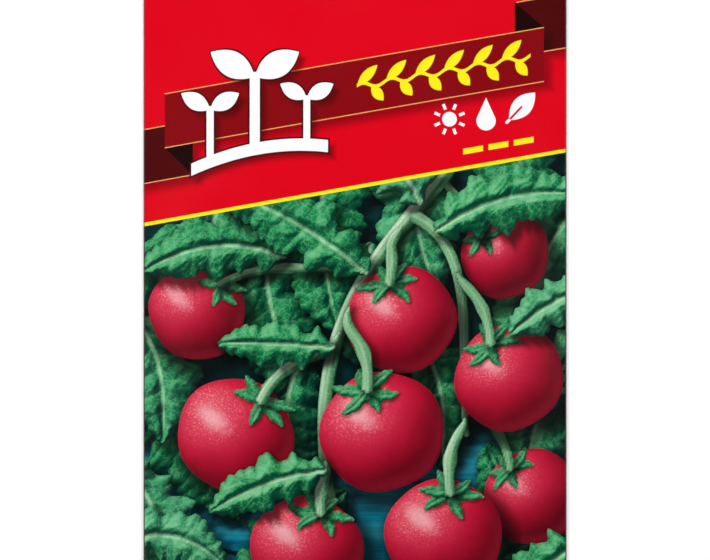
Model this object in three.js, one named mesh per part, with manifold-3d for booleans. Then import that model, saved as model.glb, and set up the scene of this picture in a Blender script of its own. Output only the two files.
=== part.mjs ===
// A paper seed packet, closed and lying on its back, with the seeds inside it.
// Millimetres. +X is to the right across the printed front, +Y is towards the packet's top and +Z is up,
// out of the front. The origin is on the surface that the packet lies on, under the middle of it.
import * as THREE from "three";
import { mergeVertices } from "three/addons/utils/BufferGeometryUtils.js";
import Module from "manifold-3d";

// Driving dimensions.
const PACKET_WIDTH = 110;
const PACKET_HEIGHT = 165;
const PAPER = 0.3; // thicker than the real 0.12 mm sheet, so that each wall is a sound solid
const GLUE_GAP = 0.1; // between a folded flap and the back panel
const FOLD_GAP = 0.3; // between the front and back panels, inside a fold
const BELLY = 5; // further room between the panels where the seeds fill the packet most
const BELLY_LEVEL = 0.75; // under 1 puts the fullest place below the middle of the height
const SIDE_FLATNESS = 2.4; // higher makes the belly flatter across, with steeper sides
const SIDE_PINCH = 1.2; // higher makes the paper leave the side folds more gently

const TOP_FLAP = 24;
const BOTTOM_FLAP = 15;
const FLAP_END_INSET = 0.8; // how far a flap's ends stay inside the packet's sides at the fold
const FLAP_TAPER = 3; // and how much further at the flap's free edge
const FLAP_CORNER = 3;
const MOUTH_DEPTH = 6; // the back panel stops this far below the top fold
const LAP_WIDTH = 14; // the two halves of the back panel overlap by this much
const LAP_STEP = 2; // over which the outer half steps down onto the inner one
const GLUE_MARGIN = 4; // from a flap's free edge to its strip of glue
const GLUE_STRIP = 8;
const GLUE_END_INSET = 8;

const SEED_RADIUS = 1.45;
const SEED_SPACING = 2.5; // under two radii, so that neighbours grow into one heap
const SEED_JITTER = 0.12;
const SEED_SIZE_SPREAD = 0.1;
const SEED_SIDES = 6;
const SEED_SHOULDER = Math.PI / 3.6; // from the crown of a seed down to the ring of its shoulder
const HEAP_HALF_WIDTH = 26;
const HEAP_HALF_HEIGHT = 19;
const HEAP_RISE = 1.2; // how much higher the seeds lie in the middle of the heap than at its edge
const HEAP_CLEARANCE = 0.3;
const RANDOM_SEED = 20;

// Levels, from the surface upwards: flap, glue, back panel, room inside.
const FLAP_TOP = PAPER;
const BACK_BOTTOM = FLAP_TOP + GLUE_GAP;
const BACK_TOP = BACK_BOTTOM + PAPER;
const HALF_WIDTH = PACKET_WIDTH / 2;
const HALF_HEIGHT = PACKET_HEIGHT / 2;
const SINK = PAPER / 3; // how far a glued piece reaches into the paper it is glued to

const FRONT_COLUMNS = 26;
const FRONT_ROWS = 34;

const wasm = await Module();
wasm.setup();

// A closed geometry as a solid that can be joined and cut.
function solidOf(geometry) {
  const bare = geometry.clone();
  bare.deleteAttribute("normal");
  bare.deleteAttribute("uv");
  const merged = mergeVertices(bare, 1e-4);
  return new wasm.Manifold(
    new wasm.Mesh({
      numProp: 3,
      vertProperties: merged.attributes.position.array,
      triVerts: new Uint32Array(merged.index.array),
    }),
  );
}

function geometryOf(solid) {
  const mesh = solid.getMesh();
  const geometry = new THREE.BufferGeometry();
  geometry.setAttribute("position", new THREE.BufferAttribute(mesh.vertProperties, 3));
  geometry.setIndex(new THREE.BufferAttribute(mesh.triVerts, 1));
  const faceted = geometry.toNonIndexed();
  faceted.computeVertexNormals();
  return faceted;
}

// Height of the front panel's inner face above the back panel's, at x, y.
function roomInside(x, y) {
  const across = Math.min(1, Math.abs(x) / HALF_WIDTH);
  const along = THREE.MathUtils.clamp((y + HALF_HEIGHT) / PACKET_HEIGHT, 0, 1);
  const acrossShare = Math.pow(1 - Math.pow(across, SIDE_FLATNESS), SIDE_PINCH);
  const alongShare = Math.sin(Math.PI * Math.pow(along, BELLY_LEVEL));
  return FOLD_GAP + BELLY * acrossShare * Math.max(0, alongShare);
}

// A slab with a flat bottom and the front panel's curved top, lowered by drop and inset from the edges.
function pillow(bottom, drop, inset) {
  const positions = [];
  const indices = [];
  const halfWidth = HALF_WIDTH - inset;
  const halfHeight = HALF_HEIGHT - inset;
  for (let row = 0; row <= FRONT_ROWS; row += 1) {
    // Rows and columns crowd towards the edges, where the paper bends most.
    const y = -halfHeight * Math.cos((Math.PI * row) / FRONT_ROWS);
    for (let column = 0; column <= FRONT_COLUMNS; column += 1) {
      const x = -halfWidth * Math.cos((Math.PI * column) / FRONT_COLUMNS);
      positions.push(x, y, BACK_TOP + roomInside(x, y) + PAPER - drop);
    }
  }
  const at = (row, column) => row * (FRONT_COLUMNS + 1) + column;
  for (let row = 0; row < FRONT_ROWS; row += 1)
    for (let column = 0; column < FRONT_COLUMNS; column += 1) {
      const a = at(row, column);
      const b = at(row, column + 1);
      const c = at(row + 1, column + 1);
      const d = at(row + 1, column);
      indices.push(a, b, c, a, c, d);
    }
  // The rim, walked anticlockwise as seen from above, then the walls and the bottom below it.
  const rim = [];
  for (let column = 0; column < FRONT_COLUMNS; column += 1) rim.push(at(0, column));
  for (let row = 0; row < FRONT_ROWS; row += 1) rim.push(at(row, FRONT_COLUMNS));
  for (let column = FRONT_COLUMNS; column > 0; column -= 1) rim.push(at(FRONT_ROWS, column));
  for (let row = FRONT_ROWS; row > 0; row -= 1) rim.push(at(row, 0));
  const lower = positions.length / 3;
  for (const vertex of rim) positions.push(positions[3 * vertex], positions[3 * vertex + 1], bottom);
  const middle = positions.length / 3;
  positions.push(0, 0, bottom);
  rim.forEach((vertex, i) => {
    const next = (i + 1) % rim.length;
    indices.push(rim[i], lower + i, lower + next, rim[i], lower + next, rim[next]);
    indices.push(lower + i, middle, lower + next);
  });
  const geometry = new THREE.BufferGeometry();
  geometry.setAttribute("position", new THREE.Float32BufferAttribute(positions, 3));
  geometry.setIndex(indices);
  return solidOf(geometry);
}

function block(x0, x1, y0, y1, z0, z1) {
  const geometry = new THREE.BoxGeometry(x1 - x0, y1 - y0, z1 - z0);
  geometry.translate((x0 + x1) / 2, (y0 + y1) / 2, (z0 + z1) / 2);
  return solidOf(geometry);
}

// A flap lying under the back panel: full width at the fold, tapering to rounded corners at its free edge.
// The direction is +1 for the top of the packet and -1 for the bottom.
function flap(direction, depth) {
  const root = HALF_WIDTH - FLAP_END_INSET;
  const tip = root - FLAP_TAPER;
  const shape = new THREE.Shape();
  shape.moveTo(-root, 0);
  shape.lineTo(-tip, depth - FLAP_CORNER);
  shape.quadraticCurveTo(-tip, depth, -tip + FLAP_CORNER, depth);
  shape.lineTo(tip - FLAP_CORNER, depth);
  shape.quadraticCurveTo(tip, depth, tip, depth - FLAP_CORNER);
  shape.lineTo(root, 0);
  shape.closePath();
  const geometry = new THREE.ExtrudeGeometry(shape, { depth: PAPER, bevelEnabled: false, curveSegments: 6 });
  // The shape is drawn outwards from the fold. At the top it turns over to run down the back.
  if (direction > 0) geometry.rotateZ(Math.PI);
  geometry.translate(0, direction * HALF_HEIGHT, 0);
  const glueFar = depth - GLUE_MARGIN;
  const edges = [glueFar - GLUE_STRIP, glueFar].map((from) => direction * (HALF_HEIGHT - from));
  const halfGlue = HALF_WIDTH - GLUE_END_INSET;
  const glue = block(
    -halfGlue,
    halfGlue,
    Math.min(...edges),
    Math.max(...edges),
    FLAP_TOP - SINK,
    BACK_BOTTOM + SINK,
  );
  const outer = direction * HALF_HEIGHT;
  const inner = direction * (HALF_HEIGHT - PAPER);
  const fold = block(-root, root, Math.min(outer, inner), Math.max(outer, inner), 0, BACK_TOP);
  return solidOf(geometry).add(glue).add(fold);
}

// The band down the back where the outer half lies on the inner half.
function lapBand() {
  const half = LAP_WIDTH / 2;
  const face = BACK_BOTTOM - PAPER;
  const buried = BACK_BOTTOM + SINK;
  const length = PACKET_HEIGHT - MOUTH_DEPTH - PAPER;
  const section = new THREE.Shape();
  section.moveTo(-half, face);
  section.lineTo(half, face);
  section.lineTo(half + LAP_STEP, BACK_BOTTOM);
  section.lineTo(half + LAP_STEP, buried);
  section.lineTo(-half, buried);
  section.closePath();
  const geometry = new THREE.ExtrudeGeometry(section, { depth: length, bevelEnabled: false });
  geometry.rotateX(Math.PI / 2);
  geometry.translate(0, HALF_HEIGHT - MOUTH_DEPTH, 0);
  return solidOf(geometry);
}

function paperPacket() {
  const outside = pillow(BACK_BOTTOM, 0, 0);
  const inside = pillow(BACK_TOP, PAPER, PAPER);
  const mouthHalf = HALF_WIDTH - 2 * PAPER;
  const mouth = block(
    -mouthHalf,
    mouthHalf,
    HALF_HEIGHT - MOUTH_DEPTH,
    HALF_HEIGHT - PAPER,
    FLAP_TOP,
    BACK_TOP + SINK,
  );
  return outside
    .subtract(inside)
    .add(lapBand())
    .subtract(mouth)
    .add(flap(1, TOP_FLAP))
    .add(flap(-1, BOTTOM_FLAP));
}

// Numbers from 0 to 1 in a fixed order.
function randomNumbers(seed) {
  let state = seed;
  return () => {
    state = (state + 0x6d2b79f5) | 0;
    let mixed = Math.imul(state ^ (state >>> 15), 1 | state);
    mixed = (mixed + Math.imul(mixed ^ (mixed >>> 7), 61 | mixed)) ^ mixed;
    return ((mixed ^ (mixed >>> 14)) >>> 0) / 4294967296;
  };
}

// The fullest place along the packet, where the seeds gather.
const HEAP_Y = -HALF_HEIGHT + PACKET_HEIGHT * Math.pow(0.5, 1 / BELLY_LEVEL);

// How far a place lies from the middle of the heap: 0 there and 1 at its edge.
const outwards = (x, y) => Math.hypot(x / HEAP_HALF_WIDTH, y / HEAP_HALF_HEIGHT);

// The heap of seeds, in a honeycomb of cells with one round seed standing out of each. The heap is solid
// under its top layer and flat where it lies on the back panel.
function seedHeap() {
  const random = randomNumbers(RANDOM_SEED);
  const bottom = BACK_TOP + HEAP_CLEARANCE;
  const rowStep = (SEED_SPACING * Math.sqrt(3)) / 2;
  const cornerReach = SEED_SPACING / Math.sqrt(3);
  const positions = [];
  const indices = [];
  const corners = new Map();
  const openEdges = new Map();

  const seedCentreHeight = (x, y) => {
    const share = Math.max(0, 1 - outwards(x, y) ** 2);
    return bottom + SEED_RADIUS + HEAP_RISE * share;
  };
  const vertex = (x, y, z) => {
    positions.push(x, y + HEAP_Y, z);
    return positions.length / 3 - 1;
  };
  // Where three cells meet they share one vertex, in the hollow between their seeds.
  const corner = (x, y) => {
    const key = `${Math.round(x * 100)},${Math.round(y * 100)}`;
    if (!corners.has(key)) corners.set(key, vertex(x, y, seedCentreHeight(x, y)));
    return corners.get(key);
  };

  const rows = Math.ceil(HEAP_HALF_HEIGHT / rowStep);
  const columns = Math.ceil(HEAP_HALF_WIDTH / SEED_SPACING) + 1;
  for (let row = -rows; row <= rows; row += 1)
    for (let column = -columns; column <= columns; column += 1) {
      const x = (column + Math.abs(row % 2) / 2) * SEED_SPACING;
      const y = row * rowStep;
      if (outwards(x, y) > 1) continue;
      const radius = SEED_RADIUS * (1 + SEED_SIZE_SPREAD * (random() - 0.5));
      const seedX = x + (random() - 0.5) * 2 * SEED_JITTER;
      const seedY = y + (random() - 0.5) * 2 * SEED_JITTER;
      const centre = seedCentreHeight(x, y);
      const crown = vertex(seedX, seedY, centre + radius);
      const shoulder = [];
      const hollow = [];
      for (let side = 0; side < SEED_SIDES; side += 1) {
        const angle = ((side + 0.5) * 2 * Math.PI) / SEED_SIDES;
        const ring = radius * Math.sin(SEED_SHOULDER);
        const lift = radius * Math.cos(SEED_SHOULDER);
        shoulder.push(vertex(seedX + ring * Math.cos(angle), seedY + ring * Math.sin(angle), centre + lift));
        hollow.push(corner(x + cornerReach * Math.cos(angle), y + cornerReach * Math.sin(angle)));
      }
      for (let side = 0; side < SEED_SIDES; side += 1) {
        const next = (side + 1) % SEED_SIDES;
        indices.push(crown, shoulder[side], shoulder[next]);
        indices.push(shoulder[side], hollow[side], hollow[next]);
        indices.push(shoulder[side], hollow[next], shoulder[next]);
        // An edge that two cells share is walked once each way. What is left is the rim of the heap.
        if (!openEdges.delete(`${hollow[next]},${hollow[side]}`))
          openEdges.set(`${hollow[side]},${hollow[next]}`, [hollow[side], hollow[next]]);
      }
    }

  // The side of the heap, from its rim straight down, and its flat bottom.
  const following = new Map([...openEdges.values()]);
  const rim = [[...following.keys()][0]];
  while (following.get(rim.at(-1)) !== rim[0]) rim.push(following.get(rim.at(-1)));
  const placeOf = (i) => new THREE.Vector2(positions[3 * i], positions[3 * i + 1]);
  const foot = rim.map((i) => vertex(placeOf(i).x, placeOf(i).y - HEAP_Y, bottom));
  rim.forEach((upper, i) => {
    const next = (i + 1) % rim.length;
    indices.push(upper, foot[i], foot[next], upper, foot[next], rim[next]);
  });
  for (const [a, b, c] of THREE.ShapeUtils.triangulateShape(rim.map(placeOf), []))
    indices.push(foot[a], foot[c], foot[b]);

  const geometry = new THREE.BufferGeometry();
  geometry.setAttribute("position", new THREE.Float32BufferAttribute(positions, 3));
  geometry.setIndex(indices);
  return solidOf(geometry);
}

function piece(name, solid, material) {
  const mesh = new THREE.Mesh(geometryOf(solid), new THREE.MeshStandardMaterial(material));
  mesh.name = name;
  return mesh;
}

const packet = new THREE.Group();
packet.add(piece("paper_packet", paperPacket(), { color: 0xe2001a, roughness: 0.35, metalness: 0 }));
packet.add(piece("loose_seeds", seedHeap(), { color: 0x9c6b3f, roughness: 0.75, metalness: 0 }));

export default packet;
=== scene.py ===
# %% [markdown]
# # A printed paper seed packet
#
# The packet is one sheet of coated paper, folded at both sides and glued down the back, with a flap
# folded over at each end. It lies on its back, a little plump with seeds. Everything here is in metres,
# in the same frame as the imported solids: +X to the right across the print, +Y to the packet's top and +Z
# up.
#
# The solids give the size and the places. The pieces made below stand for them with thin paper, real
# folds, a printed front and separate seeds.


# %% Load the frame
import math

import bmesh
import bpy
import numpy as np
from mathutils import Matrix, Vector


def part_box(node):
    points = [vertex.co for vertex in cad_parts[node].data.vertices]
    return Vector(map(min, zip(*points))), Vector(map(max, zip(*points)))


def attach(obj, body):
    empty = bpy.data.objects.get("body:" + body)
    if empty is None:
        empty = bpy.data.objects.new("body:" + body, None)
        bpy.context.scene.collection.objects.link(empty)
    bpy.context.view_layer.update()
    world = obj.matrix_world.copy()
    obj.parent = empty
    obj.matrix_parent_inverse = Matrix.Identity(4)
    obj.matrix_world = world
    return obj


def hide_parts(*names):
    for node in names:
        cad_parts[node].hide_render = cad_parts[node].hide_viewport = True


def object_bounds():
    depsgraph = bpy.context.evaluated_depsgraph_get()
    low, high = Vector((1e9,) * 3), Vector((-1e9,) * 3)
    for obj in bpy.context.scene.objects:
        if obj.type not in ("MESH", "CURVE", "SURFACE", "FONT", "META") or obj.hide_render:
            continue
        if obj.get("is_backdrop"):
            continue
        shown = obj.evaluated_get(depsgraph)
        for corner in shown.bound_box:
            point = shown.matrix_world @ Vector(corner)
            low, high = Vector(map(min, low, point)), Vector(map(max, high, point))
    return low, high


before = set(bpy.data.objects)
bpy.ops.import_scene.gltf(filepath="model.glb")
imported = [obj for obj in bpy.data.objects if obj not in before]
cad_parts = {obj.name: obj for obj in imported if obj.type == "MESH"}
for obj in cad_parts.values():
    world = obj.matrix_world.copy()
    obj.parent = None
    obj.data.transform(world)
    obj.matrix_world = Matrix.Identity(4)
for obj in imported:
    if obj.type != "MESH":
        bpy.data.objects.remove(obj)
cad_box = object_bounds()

MM = 0.001
print("solids", np.round(np.array(cad_box) / MM, 2).tolist(), "mm")


# %% Sizes taken from the frame, and the few that are the paper's own
packet_low, packet_high = (np.array(corner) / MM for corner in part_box("paper_packet"))
WIDTH, HEIGHT, THICKNESS = packet_high - packet_low
HALF_WIDTH = WIDTH / 2
HALF_HEIGHT = HEIGHT / 2

SHEET = 0.14  # one layer of the paper
BACK_LEVEL = 0.16  # the back panel's outer face, where the flaps lie under it
FOLD_HEIGHT = 0.62  # from the back's face to the front's, at a fold
FOLD_RADIUS = FOLD_HEIGHT / 2
BELLY_CREST = 0.14  # how far the fullest place stays under the top of the solids' box
TOP_FLAP = 24.0
BOTTOM_FLAP = 15.0
LAP_HALF = 7.0
print("packet", round(WIDTH, 2), "x", round(HEIGHT, 2), "x", round(THICKNESS, 2), "mm")


# %% [markdown]
# ## Sums written as sums
#
# Both shader nodes and Geometry Nodes add and multiply with Math nodes. Built by hand, a formula becomes
# a page of links. The class below wraps a socket, so that a Python expression such as 1 - mask adds its
# own nodes. Colours and vectors keep to Mix and Vector Math, because a Math node would turn a colour
# grey.


# %% A socket that can be used in a sum
class Value:
    """A number socket of a node tree, or the result of a sum on such sockets."""

    def __init__(self, tree, socket):
        self.tree = tree
        self.socket = socket

    def sum(self, operation, *others, first=None):
        values = [self if first is None else first, *others]
        return self.tree.node("ShaderNodeMath", {"operation": operation}, values)

    def __add__(self, other):
        return self.sum("ADD", other)

    def __sub__(self, other):
        return self.sum("SUBTRACT", other)

    def __mul__(self, other):
        return self.sum("MULTIPLY", other)

    def __truediv__(self, other):
        return self.sum("DIVIDE", other)

    def __pow__(self, other):
        return self.sum("POWER", other)

    def __rsub__(self, other):
        return self.sum("SUBTRACT", self, first=other)

    def __rtruediv__(self, other):
        return self.sum("DIVIDE", self, first=other)

    def __abs__(self):
        return self.sum("ABSOLUTE")

    def __gt__(self, other):
        return self.sum("GREATER_THAN", other)

    __radd__ = __add__
    __rmul__ = __mul__

    def low(self, other):
        return self.sum("MINIMUM", other)

    def high(self, other):
        return self.sum("MAXIMUM", other)

    def sin(self):
        return self.sum("SINE")

    def sqrt(self):
        return self.sum("SQRT")

    def floor(self):
        return self.sum("FLOOR")

    def mod(self, other):
        return self.sum("FLOORED_MODULO", other)

    def heading(self, other):
        """The angle of the direction that goes this far up and that far to the right."""
        return self.sum("ARCTAN2", other)

    def ease(self, start, end):
        """0 up to start and 1 from end on, with a smooth step between, whichever of the two is larger."""
        return self.tree.node(
            "ShaderNodeMapRange",
            {"interpolation_type": "SMOOTHSTEP"},
            {"Value": self, "From Min": start, "From Max": end},
        )


# %% The nodes of one tree
class Nodes:
    """Adds nodes to one tree, a shader's or a Geometry Nodes group's."""

    def __init__(self, tree):
        self.tree = tree

    def node(self, kind, settings=None, inputs=None, output=0):
        """A new node with its settings made first, then its sockets given values or links."""
        made = self.tree.nodes.new(kind)
        for name, value in (settings or {}).items():
            setattr(made, name, value)
        pairs = inputs.items() if isinstance(inputs, dict) else enumerate(inputs or [])
        for name, value in pairs:
            self.give(made.inputs[name], value)
        return Value(self, made.outputs[output]) if made.outputs else made

    def give(self, socket, value):
        if isinstance(value, Value):
            self.tree.links.new(value.socket, socket)
        elif value is not None:
            socket.default_value = value

    def mix(self, first, second, share):
        """A colour between two, by share."""
        made = self.tree.nodes.new("ShaderNodeMix")
        made.data_type = "RGBA"
        self.give(made.inputs[0], share)
        self.give(made.inputs[6], first)
        self.give(made.inputs[7], second)
        return Value(self, made.outputs[2])

    def split(self, vector):
        made = self.node("ShaderNodeSeparateXYZ", {}, [vector])
        return [Value(self, made.socket.node.outputs[axis]) for axis in range(3)]


# %% Colours as light
def to_light(colour):
    """Colours as they look on a screen, from 0 to 255, as linear light."""
    share = np.clip(np.asarray(colour) / 255, 0, 1)
    return np.where(share <= 0.04045, share / 12.92, ((share + 0.055) / 1.055) ** 2.4)


def ink(red, green, blue):
    """A printed colour for a shader's socket."""
    return (*to_light((red, green, blue)).tolist(), 1.0)


# %% [markdown]
# ## The folded sheet
#
# A closed packet is a flat pillow: a front panel, a back panel, and a tight round fold along all four
# sides. A cloth simulation could blow one up, but paper doesn't stretch, so that would have to be held
# back everywhere. Here the flat shape is laid out point by point, and a rule makes its belly later.
#
# The front is a fine grid, because the picture printed on it is painted on its points, and only as fine
# as it needs to be above the picture. Rings of points carry the surface round the folds, and a coarse
# grid makes the back, with a true step where its outer half lies on its inner half.


# %% The grid of the front
PRINT_PITCH = 0.42  # between painted points, about one and a half of the photo's pixels
PICTURE_TOP = 31.0
HEADER_PITCH = 1.5


def evenly(start, end, pitch):
    return np.linspace(start, end, int(round((end - start) / pitch)) + 1)


front_x = evenly(-HALF_WIDTH + FOLD_RADIUS, HALF_WIDTH - FOLD_RADIUS, PRINT_PITCH)
picture_y = evenly(-HALF_HEIGHT + FOLD_RADIUS, PICTURE_TOP, PRINT_PITCH)
header_y = evenly(PICTURE_TOP, HALF_HEIGHT - FOLD_RADIUS, HEADER_PITCH)[1:]
front_y = np.concatenate([picture_y, header_y])
print("front grid", len(front_x), "by", len(front_y))


# %% The back's face: level at its ends, sagging between them, with the lap down the middle
SAG_LEVEL = 0.03
SAG_RAMP = 9.0
LAP_FADE = 10.0


def back_height(x, y):
    inward = np.minimum(y + HALF_HEIGHT - BOTTOM_FLAP, HALF_HEIGHT - TOP_FLAP - y)
    sag = np.clip(inward / SAG_RAMP, 0, 1)
    outer = BACK_LEVEL + (SAG_LEVEL - BACK_LEVEL) * sag * sag * (3 - 2 * sag)
    lifted = np.where(x < -LAP_HALF, SHEET * np.exp((x + LAP_HALF) / LAP_FADE), 0)
    return outer + lifted


# %% Grids of points, and the ring round a grid
TINY = 1e-6


def grid_points(columns, rows, height):
    x, y = np.meshgrid(columns, rows)
    return np.stack([x, y, np.broadcast_to(height(x, y), x.shape)], -1).reshape(-1, 3)


def grid_numbers(first, rows, columns):
    return first + np.arange(len(rows) * len(columns)).reshape(len(rows), len(columns))


def grid_faces(number):
    """Quads that face up, from a grid of point numbers."""
    return np.stack([number[:-1, :-1], number[:-1, 1:], number[1:, 1:], number[1:, :-1]], -1).reshape(-1, 4)


def turned(faces):
    return faces[:, [0, 3, 2, 1]]


def rim_of(rows, columns):
    """The outer ring of a grid, anticlockwise seen from above, as (row, column) pairs."""
    bottom = [(0, c) for c in range(columns - 1)]
    right = [(r, columns - 1) for r in range(rows - 1)]
    top = [(rows - 1, c) for c in range(columns - 1, 0, -1)]
    left = [(r, 0) for r in range(rows - 1, 0, -1)]
    return bottom + right + top + left


# %% Joining two rings that have different numbers of points
def ring_places(share):
    """How far round a rectangle each point lies, each side a quarter, from its shares of the half sizes."""
    across, along = (np.array(share).T + 1) / 2
    sides = [along <= TINY, across >= 1 - TINY, along >= 1 - TINY]
    return np.select(sides, [across / 4, (1 + along) / 4, (3 - across) / 4], (4 - along) / 4)


def zip_rings(first, second, first_place, second_place):
    """Triangles between two closed rings whose points have rising places from 0 to 1."""
    first_next, second_next = [*first_place[1:], 1, 2], [*second_place[1:], 1, 2]
    made = []
    i = j = 0
    while i < len(first) or j < len(second):
        a, b = first[i % len(first)], second[j % len(second)]
        if first_next[i] <= second_next[j]:
            i += 1
            made.append((a, b, first[i % len(first)]))
        else:
            j += 1
            made.append((a, b, second[j % len(second)]))
    return made


# %% The folds, ring by ring, from the front's rim to the back's
FOLD_STEPS = 6
REACH = np.array([HALF_WIDTH, HALF_HEIGHT]) - FOLD_RADIUS  # from the middle to where the folds start


def fold_rings(rim_xy, ring, count):
    """Points, faces, the last ring's point numbers, and the count of points so far."""
    outward = np.where(np.abs(rim_xy) > REACH - TINY, np.sign(rim_xy), 0)
    points, faces = [], []
    for step in range(1, FOLD_STEPS + 1):
        angle = math.pi * step / FOLD_STEPS
        place = rim_xy + outward * FOLD_RADIUS * math.sin(angle)
        level = BACK_LEVEL + FOLD_RADIUS * (1 + math.cos(angle))
        points.append(np.column_stack([place, np.full(len(place), level)]))
        next_ring = count + np.arange(len(place))
        count += len(place)
        faces += zip(ring, next_ring, np.roll(next_ring, -1), np.roll(ring, -1))
        ring = next_ring
    return points, faces, ring, count


# %% The back, with columns at both sides of the lap's edge so that its step is crisp
BACK_PITCH = 1.8
STEP_WIDTH = 0.01


def back_panel(rim_xy, ring, count):
    """Points and faces of the coarse grid, which starts one step inside the folds' last ring."""
    outer_half = evenly(-REACH[0], -LAP_HALF - STEP_WIDTH, BACK_PITCH)
    columns = np.concatenate([outer_half, evenly(-LAP_HALF, REACH[0], BACK_PITCH)])[1:-1]
    rows = evenly(-REACH[1], REACH[1], BACK_PITCH)[1:-1]
    number = grid_numbers(count, rows, columns)
    rim = rim_of(*number.shape)
    share_x = np.interp(columns, columns[[0, -1]], [-1, 1])
    share_y = np.interp(rows, rows[[0, -1]], [-1, 1])
    places = ring_places([(share_x[c], share_y[r]) for r, c in rim])
    faces = list(turned(grid_faces(number)))
    faces += zip_rings(ring, [number[r, c] for r, c in rim], ring_places(rim_xy / REACH), places)
    return grid_points(columns, rows, back_height), faces


# %% The whole sheet as one closed mesh
def new_piece(name, points_mm, faces, material_numbers=None):
    """A mesh object at the origin, from points in millimetres."""
    mesh = bpy.data.meshes.new(name)
    mesh.from_pydata(np.asarray(points_mm) * MM, [], [tuple(int(i) for i in f) for f in faces])
    if material_numbers is not None:
        mesh.polygons.foreach_set("material_index", material_numbers)
    mesh.validate()
    mesh.update()
    made = bpy.data.objects.new(name, mesh)
    bpy.context.scene.collection.objects.link(made)
    return made


def keep_values(piece, name, kind, domain, values, field="value"):
    """Stores a value for each point or face under a name that nodes can read."""
    made = piece.data.attributes.new(name, kind, domain)
    made.data.foreach_set(field, np.ravel(values))


def folded_sheet():
    front = grid_points(front_x, front_y, lambda x, y: BACK_LEVEL + FOLD_HEIGHT)
    number = grid_numbers(0, front_y, front_x)
    rim = rim_of(*number.shape)
    ring = np.array([number[r, c] for r, c in rim])
    rim_xy = np.array([(front_x[c], front_y[r]) for r, c in rim])
    fold_points, fold_faces, ring, count = fold_rings(rim_xy, ring, len(front))
    back_points, back_faces = back_panel(rim_xy, ring, count)
    points = np.concatenate([front, *fold_points, back_points])
    faces = [*grid_faces(number), *fold_faces, *back_faces]
    made = new_piece("packet_sheet", points, faces)
    keep_values(made, "front", "FLOAT", "POINT", np.arange(len(points), dtype=np.float32) < len(front))
    keep_values(made, "is_back", "BOOLEAN", "FACE", np.arange(len(faces)) >= len(faces) - len(back_faces))
    return made


sheet = folded_sheet()
triangles = sum(len(p.vertices) - 2 for p in sheet.data.polygons)
print("sheet", len(sheet.data.vertices), "points,", triangles, "triangles")


# %% [markdown]
# ## The end flaps
#
# At each end the sheet turns round the packet's edge and lies flat under the back, narrower towards its
# free edge, with rounded corners. A bent and thickened plane would do, but its corners would have to be
# cut by hand. So each plate is laid out in rows, from its bend to its free edge, and each row has the
# width that the taper and the corners leave it. The bend meets the skin's own fold at its outermost line,
# so the print seems to run on round the edge, and the whole packet rests on the flaps' outer faces.


# %% A flap's sizes, and its width at any place
FLAP_INSET = 0.8
FLAP_TAPER = 3.0
FLAP_CORNER = 3.0
FLAP_PITCH = 1.5
FLAP_COLUMNS = 57
FLAP_TURN_POINTS = 7  # round the bend, and round a corner
BEND_RADIUS = BACK_LEVEL + FOLD_RADIUS
OUTSIDE, BARE = 0, 1  # a flap's printed face, and its inside and cut edges


def flap_width(run, depth):
    """Half the flap's width at this distance in from the packet's end."""
    straight = HALF_WIDTH - FLAP_INSET - FLAP_TAPER * run / depth
    left = np.clip(depth - run, 0, FLAP_CORNER)
    return straight - FLAP_CORNER + np.sqrt(np.maximum(FLAP_CORNER**2 - (FLAP_CORNER - left) ** 2, 0))


# %% The plate itself: its outer and inner face, row by row, and the edge between them
def flap_plate(name, direction, depth):
    turns = np.radians(np.linspace(0, 90, FLAP_TURN_POINTS))
    corner_runs = depth - FLAP_CORNER * (1 - np.sin(turns))
    straight_runs = evenly(BEND_RADIUS, depth - FLAP_CORNER, FLAP_PITCH)[1:-1]
    across = np.linspace(-1, 1, FLAP_COLUMNS)
    points, widths = [], []
    for radius in (BEND_RADIUS, BEND_RADIUS - SHEET):
        bend = [(BEND_RADIUS - radius * math.cos(a), BEND_RADIUS - radius * math.sin(a)) for a in turns]
        rows = bend + [(run, BEND_RADIUS - radius) for run in (*straight_runs, *corner_runs)]
        widths = widths or [flap_width(run, depth) for run, _ in rows]
        for (run, level), width in zip(rows, widths):
            y = np.full(FLAP_COLUMNS, direction * (HALF_HEIGHT - run))
            points.append(np.column_stack([across * width, y, np.full(FLAP_COLUMNS, level)]))
    outer = grid_numbers(0, widths, across)
    inner = grid_numbers(outer.size, widths, across)
    edge = rim_of(*outer.shape)
    edge_faces = [(outer[b], outer[a], inner[a], inner[b]) for a, b in zip(edge, edge[1:] + edge[:1])]
    printed = grid_faces(outer)
    faces = [*printed, *turned(grid_faces(inner)), *edge_faces]
    if direction < 0:
        faces = [face[::-1] for face in faces]
    kinds = [OUTSIDE] * len(printed) + [BARE] * (len(faces) - len(printed))
    made = new_piece(name, np.concatenate(points), faces, kinds)
    print(name, len(made.data.polygons), "faces")
    return made


top_flap = flap_plate("top_flap", 1, TOP_FLAP)
bottom_flap = flap_plate("bottom_flap", -1, BOTTOM_FLAP)


# %% Are they closed, with their faces outwards?
def volume_and_open_edges(piece):
    """The volume in cubic millimetres is above 0 when the faces look outwards."""
    work = bmesh.new()
    work.from_mesh(piece.data)
    volume = work.calc_volume(signed=True) / MM**3
    loose = sum(1 for e in work.edges if len(e.link_faces) != 2)
    work.free()
    return round(volume, 1), loose


for piece in (sheet, top_flap, bottom_flap):
    print(piece.name, "volume and open edges", volume_and_open_edges(piece))


# %% [markdown]
# ## The picture on the front
#
# It shows tomatoes on the vine. A photographer's picture would be an image mapped on the sheet, but no
# picture file is read here, so the rules below paint one at the points of the front's fine grid. It is
# built up in plates, from the board to the nearest leaf, as a painter works from the back to the front.
#
# Each plate keeps its colours, and how far in from its outline each point lies. The shader lays one plate
# over the next where that distance passes 0, so that outlines stay crisp between the points, and it adds
# the grain that is finer than the grid.


# %% Soft steps, noise and colours for a painted plate
NOISE_TABLE = 256
NOISE_SHIFT = 500  # millimetres, so that no place is below 0


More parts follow.
